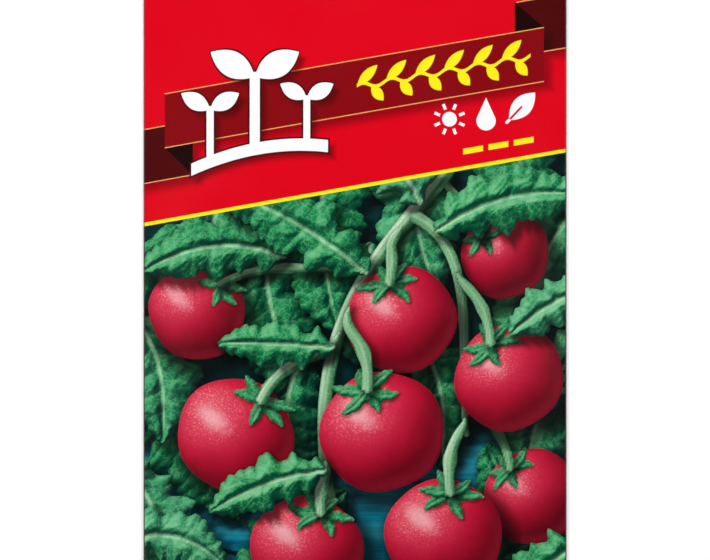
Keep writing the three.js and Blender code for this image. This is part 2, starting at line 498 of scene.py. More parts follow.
def ease(low, high, value):
    share = np.clip((value - low) / (high - low), 0, 1)
    return share * share * (3 - 2 * share)


def noise(size, seed, x, y):
    """Soft bumps about size millimetres wide, from 0 to 1."""
    table = np.random.RandomState(seed).rand(NOISE_TABLE, NOISE_TABLE)
    u, v = (x + NOISE_SHIFT) / size, (y + NOISE_SHIFT) / size
    column, row = np.floor(u).astype(int), np.floor(v).astype(int)
    u, v = ease(0, 1, u - column), ease(0, 1, v - row)
    column, row = column % NOISE_TABLE, row % NOISE_TABLE
    next_column, next_row = (column + 1) % NOISE_TABLE, (row + 1) % NOISE_TABLE
    near = table[column, row] * (1 - u) + table[next_column, row] * u
    far = table[column, next_row] * (1 - u) + table[next_column, next_row] * u
    return near * (1 - v) + far * v


def clouds(size, seed, x, y):
    """Noise at three sizes, as pairs of its part of the size and its share of the whole."""
    parts = ((1.0, 0.5), (0.47, 0.3), (0.21, 0.2))
    return sum(share * noise(size * part, seed + i, x, y) for i, (part, share) in enumerate(parts))


def blend(first, second, share):
    return first + (np.asarray(second, float) - first) * np.asarray(share)[..., None]


def ramp(value, *stops):
    """A colour by value, from (value, colour) stops in rising order."""
    colour = np.broadcast_to(np.array(stops[0][1], float), (*value.shape, 3))
    for (low, _), (high, following) in zip(stops, stops[1:]):
        colour = blend(colour, following, np.clip((value - low) / (high - low), 0, 1))
    return colour


# %% Curved lines, and each point's place beside one
def bend_through(points, steps=36):
    """A smooth curve that starts at the first point, ends at the last and is drawn towards the others."""
    share = np.linspace(0, 1, steps)[:, None]
    level = [np.repeat(np.array([p], float), steps, 0) for p in points]
    while len(level) > 1:
        level = [a * (1 - share) + b * share for a, b in zip(level, level[1:])]
    return level[0]


def follow(line, x, y):
    """The share of the way along the line, the distance from it and the side of it, and its length."""
    nearest = np.full(x.shape, np.inf)
    along, side = np.zeros(x.shape), np.ones(x.shape)
    runs = np.hypot(*np.diff(line, axis=0).T)
    starts = np.concatenate([[0], np.cumsum(runs)])
    for (ax, ay), (bx, by), run, start in zip(line, line[1:], runs, starts):
        ux, uy = (bx - ax) / run, (by - ay) / run
        px, py = x - ax, y - ay
        t = np.clip(px * ux + py * uy, 0, run)
        gap = (px - t * ux) ** 2 + (py - t * uy) ** 2
        closer = gap < nearest
        nearest = np.where(closer, gap, nearest)
        along = np.where(closer, (start + t) / starts[-1], along)
        side = np.where(closer, np.where(ux * py - uy * px < 0, -1.0, 1.0), side)
    return along, np.sqrt(nearest), side, starts[-1]


# %% The light on a relief, from the upper left and in front
LIGHT = np.array([-0.451, 0.551, 0.702])


def facing(height):
    """How squarely a relief of that height faces the light, from 0 to 1."""
    slope_y, slope_x = np.gradient(height, PRINT_PITCH)
    length = np.sqrt(slope_x**2 + slope_y**2 + 1)
    return np.clip((LIGHT[2] - slope_x * LIGHT[0] - slope_y * LIGHT[1]) / length, 0, 1)


# %% The plates
PLATES = 10
FAR_OUTSIDE = -50.0  # the distance in from an outline that isn't there
EDGE = 0.25  # millimetres over which an outline blends inside its own plate
SHADOW_RIGHT, SHADOW_DOWN = 0.36, 0.48  # how far a shape's shadow moves, in shares of its reach
SKIN_RED = 1.15  # a skin's red is at least this many times its green
SKIN_SHADOW = np.array([0.85, 1.15, 1.1])  # powers of red, green and blue: a skin's shadow stays red
plate_x, plate_y = np.meshgrid(front_x, picture_y)
inside = [np.full(plate_x.shape, FAR_OUTSIDE) for _ in range(PLATES)]  # distance in from the outline
colours = [np.zeros((*plate_x.shape, 3)) for _ in range(PLATES)]


def window(points, reach):
    """The rows and columns within reach of the points."""
    low, high = np.min(points, 0) - reach, np.max(points, 0) + reach
    columns = slice(*np.searchsorted(front_x, [low[0], high[0]]))
    rows = slice(*np.searchsorted(picture_y, [low[1], high[1]]))
    return rows, columns


def moved(field, right, up):
    """The field moved by a few millimetres, with its edge values drawn out."""
    row_count, column_count = field.shape
    rows = np.arange(row_count) - int(round(up / PRINT_PITCH))
    columns = np.arange(column_count) - int(round(right / PRINT_PITCH))
    return field[np.clip(rows, 0, row_count - 1)][:, np.clip(columns, 0, column_count - 1)]


# %% How a shape is laid on its plate
def lay(plate, place, field, colour, dark, reach):
    """Draws a shape on its plate, and its soft shadow on the plates under it."""
    cast = moved(field, SHADOW_RIGHT * reach, -SHADOW_DOWN * reach)
    shade = 1 - dark * ease(-reach, 0.8, cast)
    for under in range(plate + 1):
        part = colours[under][place]
        fleshy = part[..., :1] > SKIN_RED * part[..., 1:2]
        part *= shade[..., None] ** np.where(fleshy, SKIN_SHADOW, 1.0)
    share = np.where(field > inside[plate][place], 1.0, ease(-EDGE, EDGE, field))
    colours[plate][place] = blend(colours[plate][place], colour, share)
    inside[plate][place] = np.maximum(inside[plate][place], field)


# %% [markdown]
# ## Leaves, stalks and tomatoes
#
# A printed leaf looks real by the light on its relief: dark beside the veins, and light where the blade
# is puffed up between them. Colours chosen by place alone would look flat, and a modelled leaf would be
# thousands of faces that the print doesn't have. So each painter below first makes up a height for every
# point, then asks how squarely that relief faces the light, and only then picks a colour from a ramp of a
# few inks.


# %% A leaf's outline: lobed towards its stalk, rippled, and toothed round its edge
LOBES = 5.2
RIPPLES = 3.1


def leaf_width(t, side, length, half_width, small, notch, draw):
    """How far the blade reaches from its rib. small is 1 for a large leaf, and draw holds random shifts."""
    outline = np.sin(np.pi * t**0.78) ** 0.62
    lobe = 0.5 + 0.5 * np.cos(2 * np.pi * (t * LOBES + draw[0] + 0.22 * side))
    lobes = 1 - notch * ease(0.85, 0.0, t) * lobe
    ripple = 0.10 * np.sin(2 * np.pi * (t * RIPPLES + draw[1]) + side * 1.7)
    teeth = np.abs((t * (0.28 * length + 3) + draw[2] + 0.3 * side) % 1 - 0.35)
    return half_width * outline * (lobes + ripple) - 1.5 * small * teeth * ease(0, 0.1, t)


# %% A leaf's side veins, the finer net, and the blade puffed up between them
VEIN_PITCH = 6.0


def leaf_veins(t, side, share, length, warp, shift):
    """1 on a side vein or on the net, 0 midway between two. share: of the way from rib to edge."""
    across = t * length / VEIN_PITCH - 0.55 * share + shift + 0.28 * side + 0.5 * warp
    vein = np.abs(across % 1 - 0.5) * 2
    net = np.abs((share * 3.4 + 1.1 * warp + 0.4 * np.sin(2 * np.pi * across)) % 1 - 0.5) * 2
    return vein, net


def leaf_relief(x, y, share, vein, net, small, seed):
    puff = (1 - vein**2.2) * (1 - 0.55 * net**3) * ease(0, 0.25, share) * (1 - 0.4 * share)
    roll = 2.6 * (clouds(11, seed + 3, x, y) - 0.5) + 0.9 * ease(0.02, 0.35, share) - 1.5 * share**2
    fuzz = 0.09 * (noise(0.9, seed + 6, x, y) - 0.5)
    return small * (0.72 * puff + 1.7 * roll + fuzz)


# %% A leaf in its greens
GREENS = (
    (0.0, (0, 30, 26)),
    (0.25, (0, 70, 46)),
    (0.5, (4, 112, 62)),
    (0.75, (44, 152, 90)),
    (1.0, (130, 206, 148)),
)
UNDERSIDE = np.array((128, 200, 160))
VEIN = (146, 212, 160)
RIB = np.array((172, 218, 172))
LARGE_LEAF = 8  # half the width from which a leaf has its full relief


def leaf(plate, points, half_width, seed, tone=0.0, notch=0.5, pale=0.0, dark=0.6):
    """A leaf along its spine, from the stalk to the tip. pale: how much it shows of its underside."""
    place = window(points, half_width + 4)
    x, y = plate_x[place], plate_y[place]
    if not x.size:
        return
    t, gap, side, length = follow(bend_through(points), x, y)
    draw = np.random.RandomState(seed).rand(4)
    small = min(1.0, half_width / LARGE_LEAF)
    width = leaf_width(t, side, length, half_width, small, notch, draw)
    field = np.minimum(width - gap, 6.0)
    field = np.where((t <= 0) | (t >= 1), np.minimum(field, -0.9 * gap), field)
    share = np.clip(gap / np.maximum(width, 0.8), 0, 1.3)
    warp = clouds(7, seed + 40, x, y) - 0.5
    vein, net = leaf_veins(t, side, share, length, warp, draw[3])
    light = facing(leaf_relief(x, y, share, vein, net, small, seed))
    value = 0.15 + 0.78 * light**1.3 + tone - 0.08 * share + 0.14 * (clouds(3.2, seed + 9, x, y) - 0.5)
    colour = ramp(value, *GREENS)
    colour = blend(colour, UNDERSIDE * np.clip(0.25 + 0.85 * light, 0, 1.1)[..., None], pale)
    lines = ease(0.86, 0.985, vein) * 0.42 * (1 - 0.4 * share) + ease(0.9, 0.99, net) * 0.16
    colour = blend(colour, VEIN, lines * np.clip(light * 1.5, 0, 1))
    rib = ease(0.95, 0.35, gap / (0.30 + 0.75 * small * (1 - t))) * ease(1.0, 0.8, t)
    rib = rib * min(1, 1.6 * small)
    colour = blend(colour, RIB * np.clip(0.4 + 0.75 * light, 0, 1.1)[..., None], 0.85 * rib)
    lay(plate, place, field, blend(colour, colour * 0.7, 0.6 * ease(1.1, 0, field)), dark, 3.5 * small)


# %% A stalk: a round, ribbed line
STALK = ((0.0, (18, 64, 40)), (0.4, (80, 138, 92)), (0.7, (150, 196, 150)), (1.0, (222, 238, 216)))


def stalk(plate, points, start, end, seed, tint=0.0, knuckle=None, dark=0.55):
    """start and end: half its width there. knuckle: where it thickens, as a share of the way."""
    place = window(points, start + end + 3)
    x, y = plate_x[place], plate_y[place]
    if not x.size:
        return
    line = bend_through(points)
    t, gap, side, length = follow(line, x, y)
    width = (start + (end - start) * t) * (1 + 0.05 * np.sin(9 * t + seed))
    if knuckle is not None:
        swelling = 1 + 0.3 * np.exp(-(((t - knuckle) * length / 2.2) ** 2))
        width = width * swelling * ease(1.0, 0.72, t) ** 0.5
    field = np.where((t <= 0) | (t >= 1), 0.5 * width - gap, width - gap)
    over = np.clip(gap / np.maximum(width, 0.05), 0, 1) * side
    heading = np.gradient(line, axis=0)
    heading /= np.hypot(*heading.T)[:, None]
    steps = np.linspace(0, 1, len(line))
    hx, hy = np.interp(t, steps, heading[:, 0]), np.interp(t, steps, heading[:, 1])
    light = np.clip(over * (LIGHT[1] * hx - LIGHT[0] * hy) + LIGHT[2] * np.sqrt(1 - over**2), 0, 1)
    ribs = 0.10 * np.cos(over * 9) + 0.12 * (noise(1.1, seed + 5, over * 4 + t * 2, t * length * 0.3) - 0.5)
    lay(plate, place, field, ramp(0.10 + 0.80 * light + ribs + tint, *STALK), dark, 2.4)


# %% A tomato's crown, and the lamp's light on its skin
GLOW = (244, 116, 130)
LAMP = (255, 226, 222)
GLOW_WIDTH, GLOW_HEIGHT = 0.62, 0.50  # in radii


def from_crown(x, y, radius, crown, towards):
    """Places seen from the crown. The shoulder slants away there, so they stretch towards the nearer rim."""
    right, up = x - crown[0] * radius, y - crown[1] * radius
    slant = math.sqrt(max(0.15, 1 - crown[0] ** 2 - crown[1] ** 2))
    toward = (right * math.cos(towards) + up * math.sin(towards)) / slant
    aside = up * math.cos(towards) - right * math.sin(towards)
    return toward, aside, np.hypot(toward, aside) / radius


def lamp_on_skin(colour, x, y, radius, seed, dark):
    """A wide glow, and the softer edges of a broad lamp inside it."""
    right, up = x / radius + 0.40, y / radius - 0.30
    glow = np.exp(-((right / GLOW_WIDTH) ** 2) - (up / GLOW_HEIGHT) ** 2)
    colour = blend(colour, GLOW, 0.56 * glow * (1 - dark))
    right, up = right - 0.25 * up - 0.10 * right**2, up + 0.62 * right
    lamp = ease(0.38, 0.06, np.hypot(right / 1.25, up / 0.8) + 0.05 * (noise(1.3, seed + 4, x, y) - 0.5))
    return blend(colour, LAMP, 0.58 * lamp * (1 - 2 * dark))


# %% A tomato: a lobed ball, dipped at its crown
TOMATO = (
    (0.0, (84, 2, 18)),
    (0.28, (132, 6, 30)),
    (0.52, (176, 12, 44)),
    (0.78, (208, 26, 60)),
    (1.0, (236, 84, 100)),
)
UNRIPE = (206, 84, 40)  # a little of it round the crown
THROWN_BACK = (160, 48, 60)  # light from below, just inside the shaded rim


def tomato(plate, centre, radius, crown, seed, dark=0.0):
    """crown: from the centre, in radii, to where the stalk joins."""
    place = window([centre], radius + 5)
    x, y = plate_x[place] - centre[0], plate_y[place] - centre[1]
    angle = np.arctan2(y, x)
    towards = math.atan2(crown[1], crown[0])
    edge = radius * (1 + (0.016 * np.cos(5 * angle + seed) - 0.022 * np.cos(2 * (angle - towards))))
    out = np.hypot(x, y)
    rho = np.clip(out / edge, 0, 0.998)
    toward, aside, reach = from_crown(x, y, radius, crown, towards)
    ribs = np.cos(6 * np.arctan2(aside, toward) + seed) * np.exp(-((reach / 0.55) ** 2))
    ribs = ribs * ease(0.05, 0.3, reach)
    dip = 0.20 * radius * np.exp(-((reach / 0.20) ** 2))
    light = facing(radius * np.sqrt(1 - rho**2) - dip + 0.018 * radius * ribs)
    skin = 0.05 * (noise(2.7, seed + 2, x, y) - 0.5) + 0.03 * (noise(0.8, seed + 1, x, y) - 0.5)
    colour = ramp(0.17 + 0.76 * light**1.1 + skin - dark, *TOMATO)
    colour = blend(colour, UNRIPE, 0.35 * ease(0.42, 0.10, reach) * np.clip(light * 1.4, 0, 1))
    back = ease(0.72, 0.93, rho) * ease(1.0, 0.95, rho) * ease(-0.1, -0.8, (y - x) / (1.4 * radius))
    colour = blend(colour, THROWN_BACK, 0.24 * back)
    lay(plate, place, edge - out, lamp_on_skin(colour, x, y, radius, seed, dark), 0.68, 5.0)


# %% The calyx: a star of green sepals on the crown
SEPALS = 6


def calyx(plate, centre, radius, crown, seed):
    """Gives the middle of the star, where the stalk ends."""
    draw = np.random.RandomState(seed)
    middle = np.array(centre) + np.array(crown) * radius
    along = np.array(crown) / math.hypot(*crown)
    slant = math.sqrt(max(0.12, 1 - crown[0] ** 2 - crown[1] ** 2))
    for k in range(SEPALS):
        angle = (k + draw.uniform(-0.15, 0.15)) * math.tau / SEPALS + seed
        way = np.array([math.cos(angle), math.sin(angle)])
        way = way + along * (way @ along) * (slant - 1)
        reach = radius * draw.uniform(0.52, 0.68)
        curl = np.array([-way[1], way[0]]) * draw.uniform(-0.25, 0.25) * reach
        points = [middle, middle + way * reach * 0.6 + curl, middle + way * reach]
        leaf(plate, points, radius * 0.105, seed * 11 + k, 0.10, 0.0, dark=0.5)
    return middle


# %% [markdown]
# ## The layout of the picture
#
# Nearer things cover farther ones. So the board comes first, then a bed of leaves that hides most of it,
# the back row of tomatoes, the vine with its branch, and the rows in front. The places could be strewn by
# chance, but tomatoes hang in trusses from their vine, so they are listed one by one, in millimetres on
# the packet.


# %% The board behind it all: blue, lost in shade under the plant and clear below it
BOARD = ((0.2, (0, 66, 84)), (0.5, (4, 104, 126)), (0.8, (40, 142, 160)))
JOINT = (0, 22, 28)
SHADE = (0, 34, 32)
BOARD_PITCH = 29
BOARD_SLOPE = 0.22


def board():
    x, y = plate_x, plate_y
    colour = ramp(clouds(14, 5, 0.35 * x, 2 * y), *BOARD)
    colour = colour * (0.80 + 0.34 * noise(0.8, 8, 0.12 * x + 0.02 * y, 1.6 * y))[..., None]
    joint = np.abs((y + BOARD_SLOPE * x + 9) % BOARD_PITCH - BOARD_PITCH / 2)
    colour = blend(colour, JOINT, ease(1.0, 0.2, joint))
    colours[0][:] = blend(colour, SHADE, 0.85 * ease(-58, -30, y + 4 * np.sin(x / 9)))
    inside[0][:] = 1


# %% What lies where, from the board up
# Leaves that cover the board: spine, half width, how light, how much of the pale underside.
BED = (
    ([(-60, -34), (-44, -40), (-30, -66)], 12, -0.08, 0.0),
    ([(-30, -86), (-20, -74), (-2, -58)], 11, -0.10, 0.0),
    ([(60, -78), (44, -70), (34, -46)], 12, -0.06, 0.0),
    ([(-62, 4), (-46, 0), (-30, -22)], 13, -0.04, 0.0),
    ([(-22, 8), (-26, -10), (-12, -34)], 12, -0.10, 0.0),
    ([(-58, -14), (-48, -22), (-50, -46)], 11, -0.08, 0.2),
    ([(-36, 30), (-32, 10), (-48, -12)], 12, -0.02, 0.25),
    ([(-6, 34), (-12, 12), (-4, -18)], 13, -0.05, 0.0),
    ([(4, 6), (2, -12), (12, -34)], 11, -0.12, 0.0),
    ([(20, 38), (10, 18), (22, -8)], 12, -0.02, 0.15),
    ([(44, 44), (40, 18), (50, -10)], 13, 0.0, 0.0),
    ([(62, 20), (46, 4), (40, -24)], 12, -0.04, 0.0),
    ([(62, -20), (48, -26), (44, -56)], 12, -0.02, 0.2),
    ([(-12, -22), (-22, -34), (-14, -56)], 11, -0.10, 0.0),
    ([(14, -16), (26, -30), (22, -52)], 11, -0.10, 0.0),
    ([(-60, -52), (-52, -60), (-44, -84)], 10, -0.02, 0.35),
)
VINE = [(30, 40), (24, 8), (-14, 6), (-10, -44), (-6, -62)]
BRANCH = [(15, 13), (34, 4), (26, -26), (29, -44)]


# %% Paint it, from the back row to the front
def fruit(plate, centre, radius, crown, seed, stem, bow, dark=0.0):
    """A tomato with its calyx, and the stalk from its crown that joins the stem at the first point given."""
    tomato(plate, centre, radius, crown, seed, dark)
    middle = calyx(plate + 1, centre, radius, crown, seed)
    bent = (middle + stem[-1]) / 2 + np.array(bow)
    route = [middle, bent, stem[-1], stem[0]]
    stalk(plate + 1, route, 0.09 * radius, 0.095 * radius, seed, -dark, knuckle=0.42)


def paint_picture():
    board()
    for i, (spine, half_width, tone, pale) in enumerate(BED):
        leaf(1 + i % 2, spine, half_width, 100 + 7 * i, tone, pale=pale)
    vine, branch = bend_through(VINE, 101), bend_through(BRANCH, 101)
    # Back row, with its stalks under the vine.
    fruit(3, (39, 3), 11.5, (-0.55, 0.40), 41, vine[12:21], (2, 7), dark=0.12)
    fruit(3, (-41, -12), 12.5, (0.48, 0.56), 42, vine[39:48], (-4, 9), dark=0.08)
    fruit(3, (46, -60), 12.5, (-0.45, 0.58), 43, branch[82:91], (4, 7), dark=0.10)
    leaf(4, [(-18, 2), (-36, 10), (-56, -2)], 8.5, 310, 0.02)
    leaf(4, [(28, -30), (44, -36), (60, -30)], 8.0, 311, 0.02)
    stalk(5, VINE, 2.2, 1.5, 7)
    stalk(5, BRANCH, 1.7, 0.8, 9)
    # Middle row.
    fruit(5, (12, -14), 14.0, (-0.22, 0.66), 44, vine[30:39], (3, 7), dark=0.03)
    fruit(5, (-31, -44), 15.0, (0.44, 0.58), 45, vine[58:67], (-3, 9))
    fruit(5, (40, -29), 14.0, (-0.34, 0.62), 46, branch[32:41], (3, 6), dark=0.02)
    leaf(6, [vine[44], (-16, 14), (-36, 20)], 9.5, 320, 0.06)
    leaf(6, [vine[24], (12, 28), (-2, 40)], 9.0, 321, 0.06, pale=0.5)
    leaf(6, [branch[12], (40, 22), (60, 18)], 9.0, 322, 0.08)
    leaf(6, [vine[62], (-20, -20), (-36, -20)], 6.5, 323, 0.05)
    # Front row.
    fruit(7, (7, -43), 15.8, (-0.24, 0.68), 47, vine[52:61], (5, 9))
    fruit(7, (23, -70), 15.0, (0.12, 0.72), 48, branch[91:100], (-4, 7))
    fruit(8, (-12.5, -74), 14.5, (0.26, 0.66), 49, vine[87:96], (-2, 5))
    leaf(9, [vine[90], (-22, -54), (-38, -64)], 7.5, 330, 0.10)
    leaf(9, [(-60, -72), (-46, -66), (-34, -78)], 8.0, 331, 0.08, pale=0.4)
    leaf(9, [(60, -6), (52, -8), (40, -18)], 7.0, 332, 0.08, pale=0.4)
    leaf(9, [(60, -72), (50, -76), (38, -88)], 8.0, 333, 0.08)


paint_picture()


# %% Keep the plates on the sheet, one colour attribute each, with the distance as its alpha
def plate_name(plate):
    return f"plate_{plate}"


for plate in range(PLATES):
    stored = np.zeros((len(sheet.data.vertices), 4), np.float32)
    stored[:, 3] = FAR_OUTSIDE
    stored[: plate_x.size, :3] = to_light(colours[plate]).reshape(-1, 3)
    stored[: plate_x.size, 3] = inside[plate].reshape(-1)
    keep_values(sheet, plate_name(plate), "FLOAT_COLOR", "POINT", stored, "color")
print("picture of", PLATES, "plates on", plate_x.size, "points")


# %% [markdown]
# ## The printed paper
#
# The sheet is white coated paper. Its front carries four-colour print under a light gloss, and its folds
# show white where the coat has cracked. The print could be an image, but its outlines would blur when
# seen close. Here each printed shape is a sum that gives the distance in from its outline, so its edge
# stays crisp at any distance, and a mask made of that sum lays its ink over what is under it.


# %% A material's first and last nodes, and the place on the paper in millimetres
def new_material(name):
    made = bpy.data.materials.new(name)
    made.use_nodes = True
    made.node_tree.nodes.clear()
    return made, Nodes(made.node_tree)


def give_surface(n, looks):
    shader = n.node("ShaderNodeBsdfPrincipled", {}, looks)
    n.node("ShaderNodeOutputMaterial", {}, {"Surface": shader})


def place_mm(n):
    where = n.node("ShaderNodeTexCoord", output=3)
    return where, [axis * (1 / MM) for axis in n.split(where)]


# %% Shapes: each gives the distance in from its outline, so it is above 0 inside
def blade(x, y, foot, tip, half_width):
    """A leaf from foot to tip, pointed at both ends."""
    length = math.dist(foot, tip)
    way_x, way_y = (tip[0] - foot[0]) / length, (tip[1] - foot[1]) / length
    along = ((x - foot[0]) * way_x + (y - foot[1]) * way_y) / length
    aside = abs((y - foot[1]) * way_x - (x - foot[0]) * way_y)
    return along * (1 - along) * (4 * half_width) - aside


def rod(x, y, start, end, radius):
    """A line with round ends."""
    length = math.dist(start, end)
    way_x, way_y = (end[0] - start[0]) / length, (end[1] - start[1]) / length
    along = ((x - start[0]) * way_x + (y - start[1]) * way_y).high(0).low(length)
    gap_x = x - start[0] - along * way_x
    gap_y = y - start[1] - along * way_y
    return radius - (gap_x * gap_x + gap_y * gap_y).sqrt()


def disc(x, y, centre, radius):
    return radius - ((x - centre[0]) ** 2 + (y - centre[1]) ** 2).sqrt()


def slab(value, low, high):
    """Inside where the value lies between the two."""
    return (value - low).low(high - value)


def rectangle(x, y, left, right, low, high):
    return slab(x, left, right).low(slab(y, low, high))


# %% Shapes joined, and a shape's mask
CRISP = 0.05  # half the width over which a printed edge blends


def union(shapes):
    whole = shapes[0]
    for shape in shapes[1:]:
        whole = whole.high(shape)
    return whole


def cover(shape, soft=CRISP):
    """The shape's mask: 1 inside and 0 outside."""
    return shape.ease(-soft, soft)


# %% The picture: its plates, and the grain of leaves and skins over them all
PLATE_EDGE = 0.06
NET_SCALE = 620.0
GRAIN_SCALE = 2100.0
WANDER_SCALE = 300.0
WANDER = (0.0022, 0.0022, 0)  # metres by which the net's cells bend
VEIN_LIGHT = ink(126, 204, 150)
LEAF_SHADE = ink(0, 52, 38)
SKIN_LIGHT = ink(255, 190, 190)
SKIN_SHADE = ink(120, 0, 24)


def stacked_plates(n):
    colour = None
    for plate in range(PLATES):
        settings = {"attribute_name": plate_name(plate), "attribute_type": "GEOMETRY"}
        layer = n.node("ShaderNodeAttribute", settings)
        share = Value(n, layer.socket.node.outputs["Alpha"]).ease(-PLATE_EDGE, PLATE_EDGE)
        colour = layer if colour is None else n.mix(colour, layer, share)
    return colour


def picture(n, where):
    colour = stacked_plates(n)
    red, green, blue = n.split(colour)
    leafy = (green - red).ease(0.0, 0.08) * (green - blue).ease(0.0, 0.03)
    fleshy = (red - green).ease(0.04, 0.25)
    # Leaves have a net of fine veins, with the light caught in dots between them.
    wander = n.node("ShaderNodeTexNoise", {}, {"Vector": where, "Scale": WANDER_SCALE}, output=1)
    bent = n.node("ShaderNodeVectorMath", {"operation": "MULTIPLY_ADD"}, [wander, WANDER, where])
    cells = {"Vector": bent, "Scale": NET_SCALE}
    net = n.node("ShaderNodeTexVoronoi", {"feature": "DISTANCE_TO_EDGE"}, cells)
    grain = n.node("ShaderNodeTexNoise", {}, {"Vector": where, "Scale": GRAIN_SCALE, "Detail": 2.0})
    lit = green.ease(0.01, 0.25)
    colour = n.mix(colour, VEIN_LIGHT, leafy * lit * net.ease(0.10, 0.02) * 0.28)
    colour = n.mix(colour, LEAF_SHADE, leafy * grain.ease(0.52, 0.34) * 0.16)
    colour = n.mix(colour, VEIN_LIGHT, leafy * lit * grain.ease(0.52, 0.70) * 0.18)
    # Skins sparkle where the lamp strikes them, and are finely mottled elsewhere.
    colour = n.mix(colour, SKIN_SHADE, fleshy * grain.ease(0.50, 0.34) * 0.10)
    return n.mix(colour, SKIN_LIGHT, fleshy * green.ease(0.008, 0.08) * grain.ease(0.52, 0.66) * 0.34)


# %% [markdown]
# ## The header and its ribbon
#
# The upper part of the front is a red ground with a slanted yellow stripe at its foot, and a dark red
# ribbon across it: a band that is folded back at both ends, with its tails behind it. All these lines
# climb to the right by the same slope. Each could be drawn as a turned rectangle, but one slanted height,
# s, makes them all level, so that a slab of s is enough.
#
# The ribbon's shapes come from one function. It is called in place for the ribbon, and a little to the
# lower right, with a soft edge, for its shadow.


# %% The header's ground and stripe, and the ribbon's places
RED = ink(226, 0, 26)
YELLOW = ink(255, 240, 30)
SLANT = 0.1755  # the header's lines climb by this much to the right
STRIPE_LEVEL = 20.33
STRIPE_HALF = 0.47
BAND_LOW, BAND_HIGH = 39.29, 53.33
BAND_LEFT, BAND_RIGHT = -49.4, 49.1
TAIL_LEFT, TAIL_RIGHT = -42.1, 41.5
TAIL_DROP = 8.3  # how far the left tail hangs below the band
TAIL_RISE = 7.75  # how far the right one stands above it
LEFT_TAIL_TOP = 45.0
RIGHT_TAIL_FOOT = 47.06
PAST_SIDE = 60  # somewhere off the packet


def ground_and_stripe(n, s, under):
    """s is the height over the slanted line through the packet's middle."""
    colour = n.mix(under, RED, cover(s - STRIPE_LEVEL))
    return n.mix(colour, YELLOW, cover(slab(s, STRIPE_LEVEL - STRIPE_HALF, STRIPE_LEVEL + STRIPE_HALF)))


def ribbon_shapes(x, s):
    """The band, the left tail and the right tail."""
    band = rectangle(x, s, BAND_LEFT, BAND_RIGHT, BAND_LOW, BAND_HIGH)
    left_tail = rectangle(x, s, -PAST_SIDE, TAIL_LEFT, BAND_LOW - TAIL_DROP, LEFT_TAIL_TOP)
    right_tail = rectangle(x, s, TAIL_RIGHT, PAST_SIDE, RIGHT_TAIL_FOOT, BAND_HIGH + TAIL_RISE)
    return band, left_tail, right_tail


# %% The insides of the ribbon's folds, each cut off by a diagonal, and its hairlines
LEFT_FOLD_FOOT, LEFT_FOLD_LEAN = 30.6, 0.96
RIGHT_FOLD_TOP, RIGHT_FOLD_LEAN = 62.0, 0.835
HAIRLINE = 0.13
LEFT_LINE_GAP, RIGHT_LINE_GAP = 0.7, 0.4  # from the band's end to where a tail's hairlines start


def ribbon_folds(x, y, s):
    left_diagonal = (y - LEFT_FOLD_FOOT) + (x - BAND_LEFT) * LEFT_FOLD_LEAN
    right_diagonal = RIGHT_FOLD_TOP - y + (BAND_RIGHT - x) * RIGHT_FOLD_LEAN
    left_fold = slab(x, BAND_LEFT, TAIL_LEFT).low(BAND_LOW - s).low(left_diagonal)
    right_fold = slab(x, TAIL_RIGHT, BAND_RIGHT).low(s - BAND_HIGH).low(right_diagonal)
    return union([left_fold, right_fold])


def edges(value, low, high):
    """Hairlines at the two ends of a slab."""
    return HAIRLINE - abs(slab(value, low, high))


def tail_lines(x, s):
    left_lines = edges(s, BAND_LOW - TAIL_DROP, LEFT_TAIL_TOP).low(TAIL_LEFT - LEFT_LINE_GAP - x)
    right_lines = edges(s, RIGHT_TAIL_FOOT, BAND_HIGH + TAIL_RISE).low(x - TAIL_RIGHT - RIGHT_LINE_GAP)
    return union([left_lines, right_lines])


# %% The ribbon, over its own soft shadow
RED_SHADOW = ink(150, 0, 16)
RIBBON = ink(138, 5, 14)
RIBBON_BACK = ink(77, 4, 6)
RIBBON_FOLD = ink(28, 0, 0)
GOLD = ink(240, 172, 100)
SHADOW_DROP = 2.0  # to the right, and as much down
SHADOW_SOFT = 1.8


def ribbon(n, x, y, s, colour):
    band, *tails = ribbon_shapes(x, s)
    shadow = ribbon_shapes(x - SHADOW_DROP, s + SHADOW_DROP * (1 + SLANT))
    colour = n.mix(colour, RED_SHADOW, cover(union(shadow), SHADOW_SOFT) * 0.95)
    # The tails lie behind the band, so they have the band's shadow on them.
    behind = cover(union(tails))
    colour = n.mix(colour, RIBBON_BACK, behind)
    colour = n.mix(colour, RIBBON_FOLD, behind * cover(shadow[0], SHADOW_SOFT) * 0.55)
    colour = n.mix(colour, RIBBON_FOLD, cover(ribbon_folds(x, y, s)))
    colour = n.mix(colour, GOLD, cover(tail_lines(x, s)))
    colour = n.mix(colour, RIBBON, cover(band))
    rules = edges(s, BAND_LOW, BAND_HIGH).low(slab(x, BAND_LEFT, BAND_RIGHT))
    return n.mix(colour, GOLD, cover(rules))


# %% [markdown]
# ## Ornaments
#
# Besides its picture the front has ornaments: white seedlings, a yellow sprig on the ribbon, and white
# signs for sun, water and leaf. Curves filled with a colour would be the usual way, but they would be
# pieces of their own, lying on paper that bends. As sums of blades, rods and discs they are part of the
# print and bend with it.


# %% Seedlings over a strip of soil
SEEDLINGS = (  # foot, height, spread
    ((-26, 31.0), 18.0, 12.5),
    ((-37.6, 28.0), 12.5, 8.2),
    ((-12.5, 32.0), 11.3, 7.5),
)
SOIL_MIDDLE = 25  # left of the packet's middle
SOIL_BOW = 0.008
SOIL_LEFT, SOIL_RIGHT = -42.5, -7.0
SOIL_LOW, SOIL_HIGH = 33.2, 36.4


def seedling(x, y, foot, height, spread):
    """A stalk with two seed leaves."""
    top = (foot[0], foot[1] + height)
    tips = [(top[0] + side * 0.92 * spread, top[1] + 0.52 * spread) for side in (-1, 1)]
    leaves = [blade(x, y, top, tip, 0.27 * spread) for tip in tips]
    return [rod(x, y, foot, top, 0.085 * spread + 0.25), *leaves]


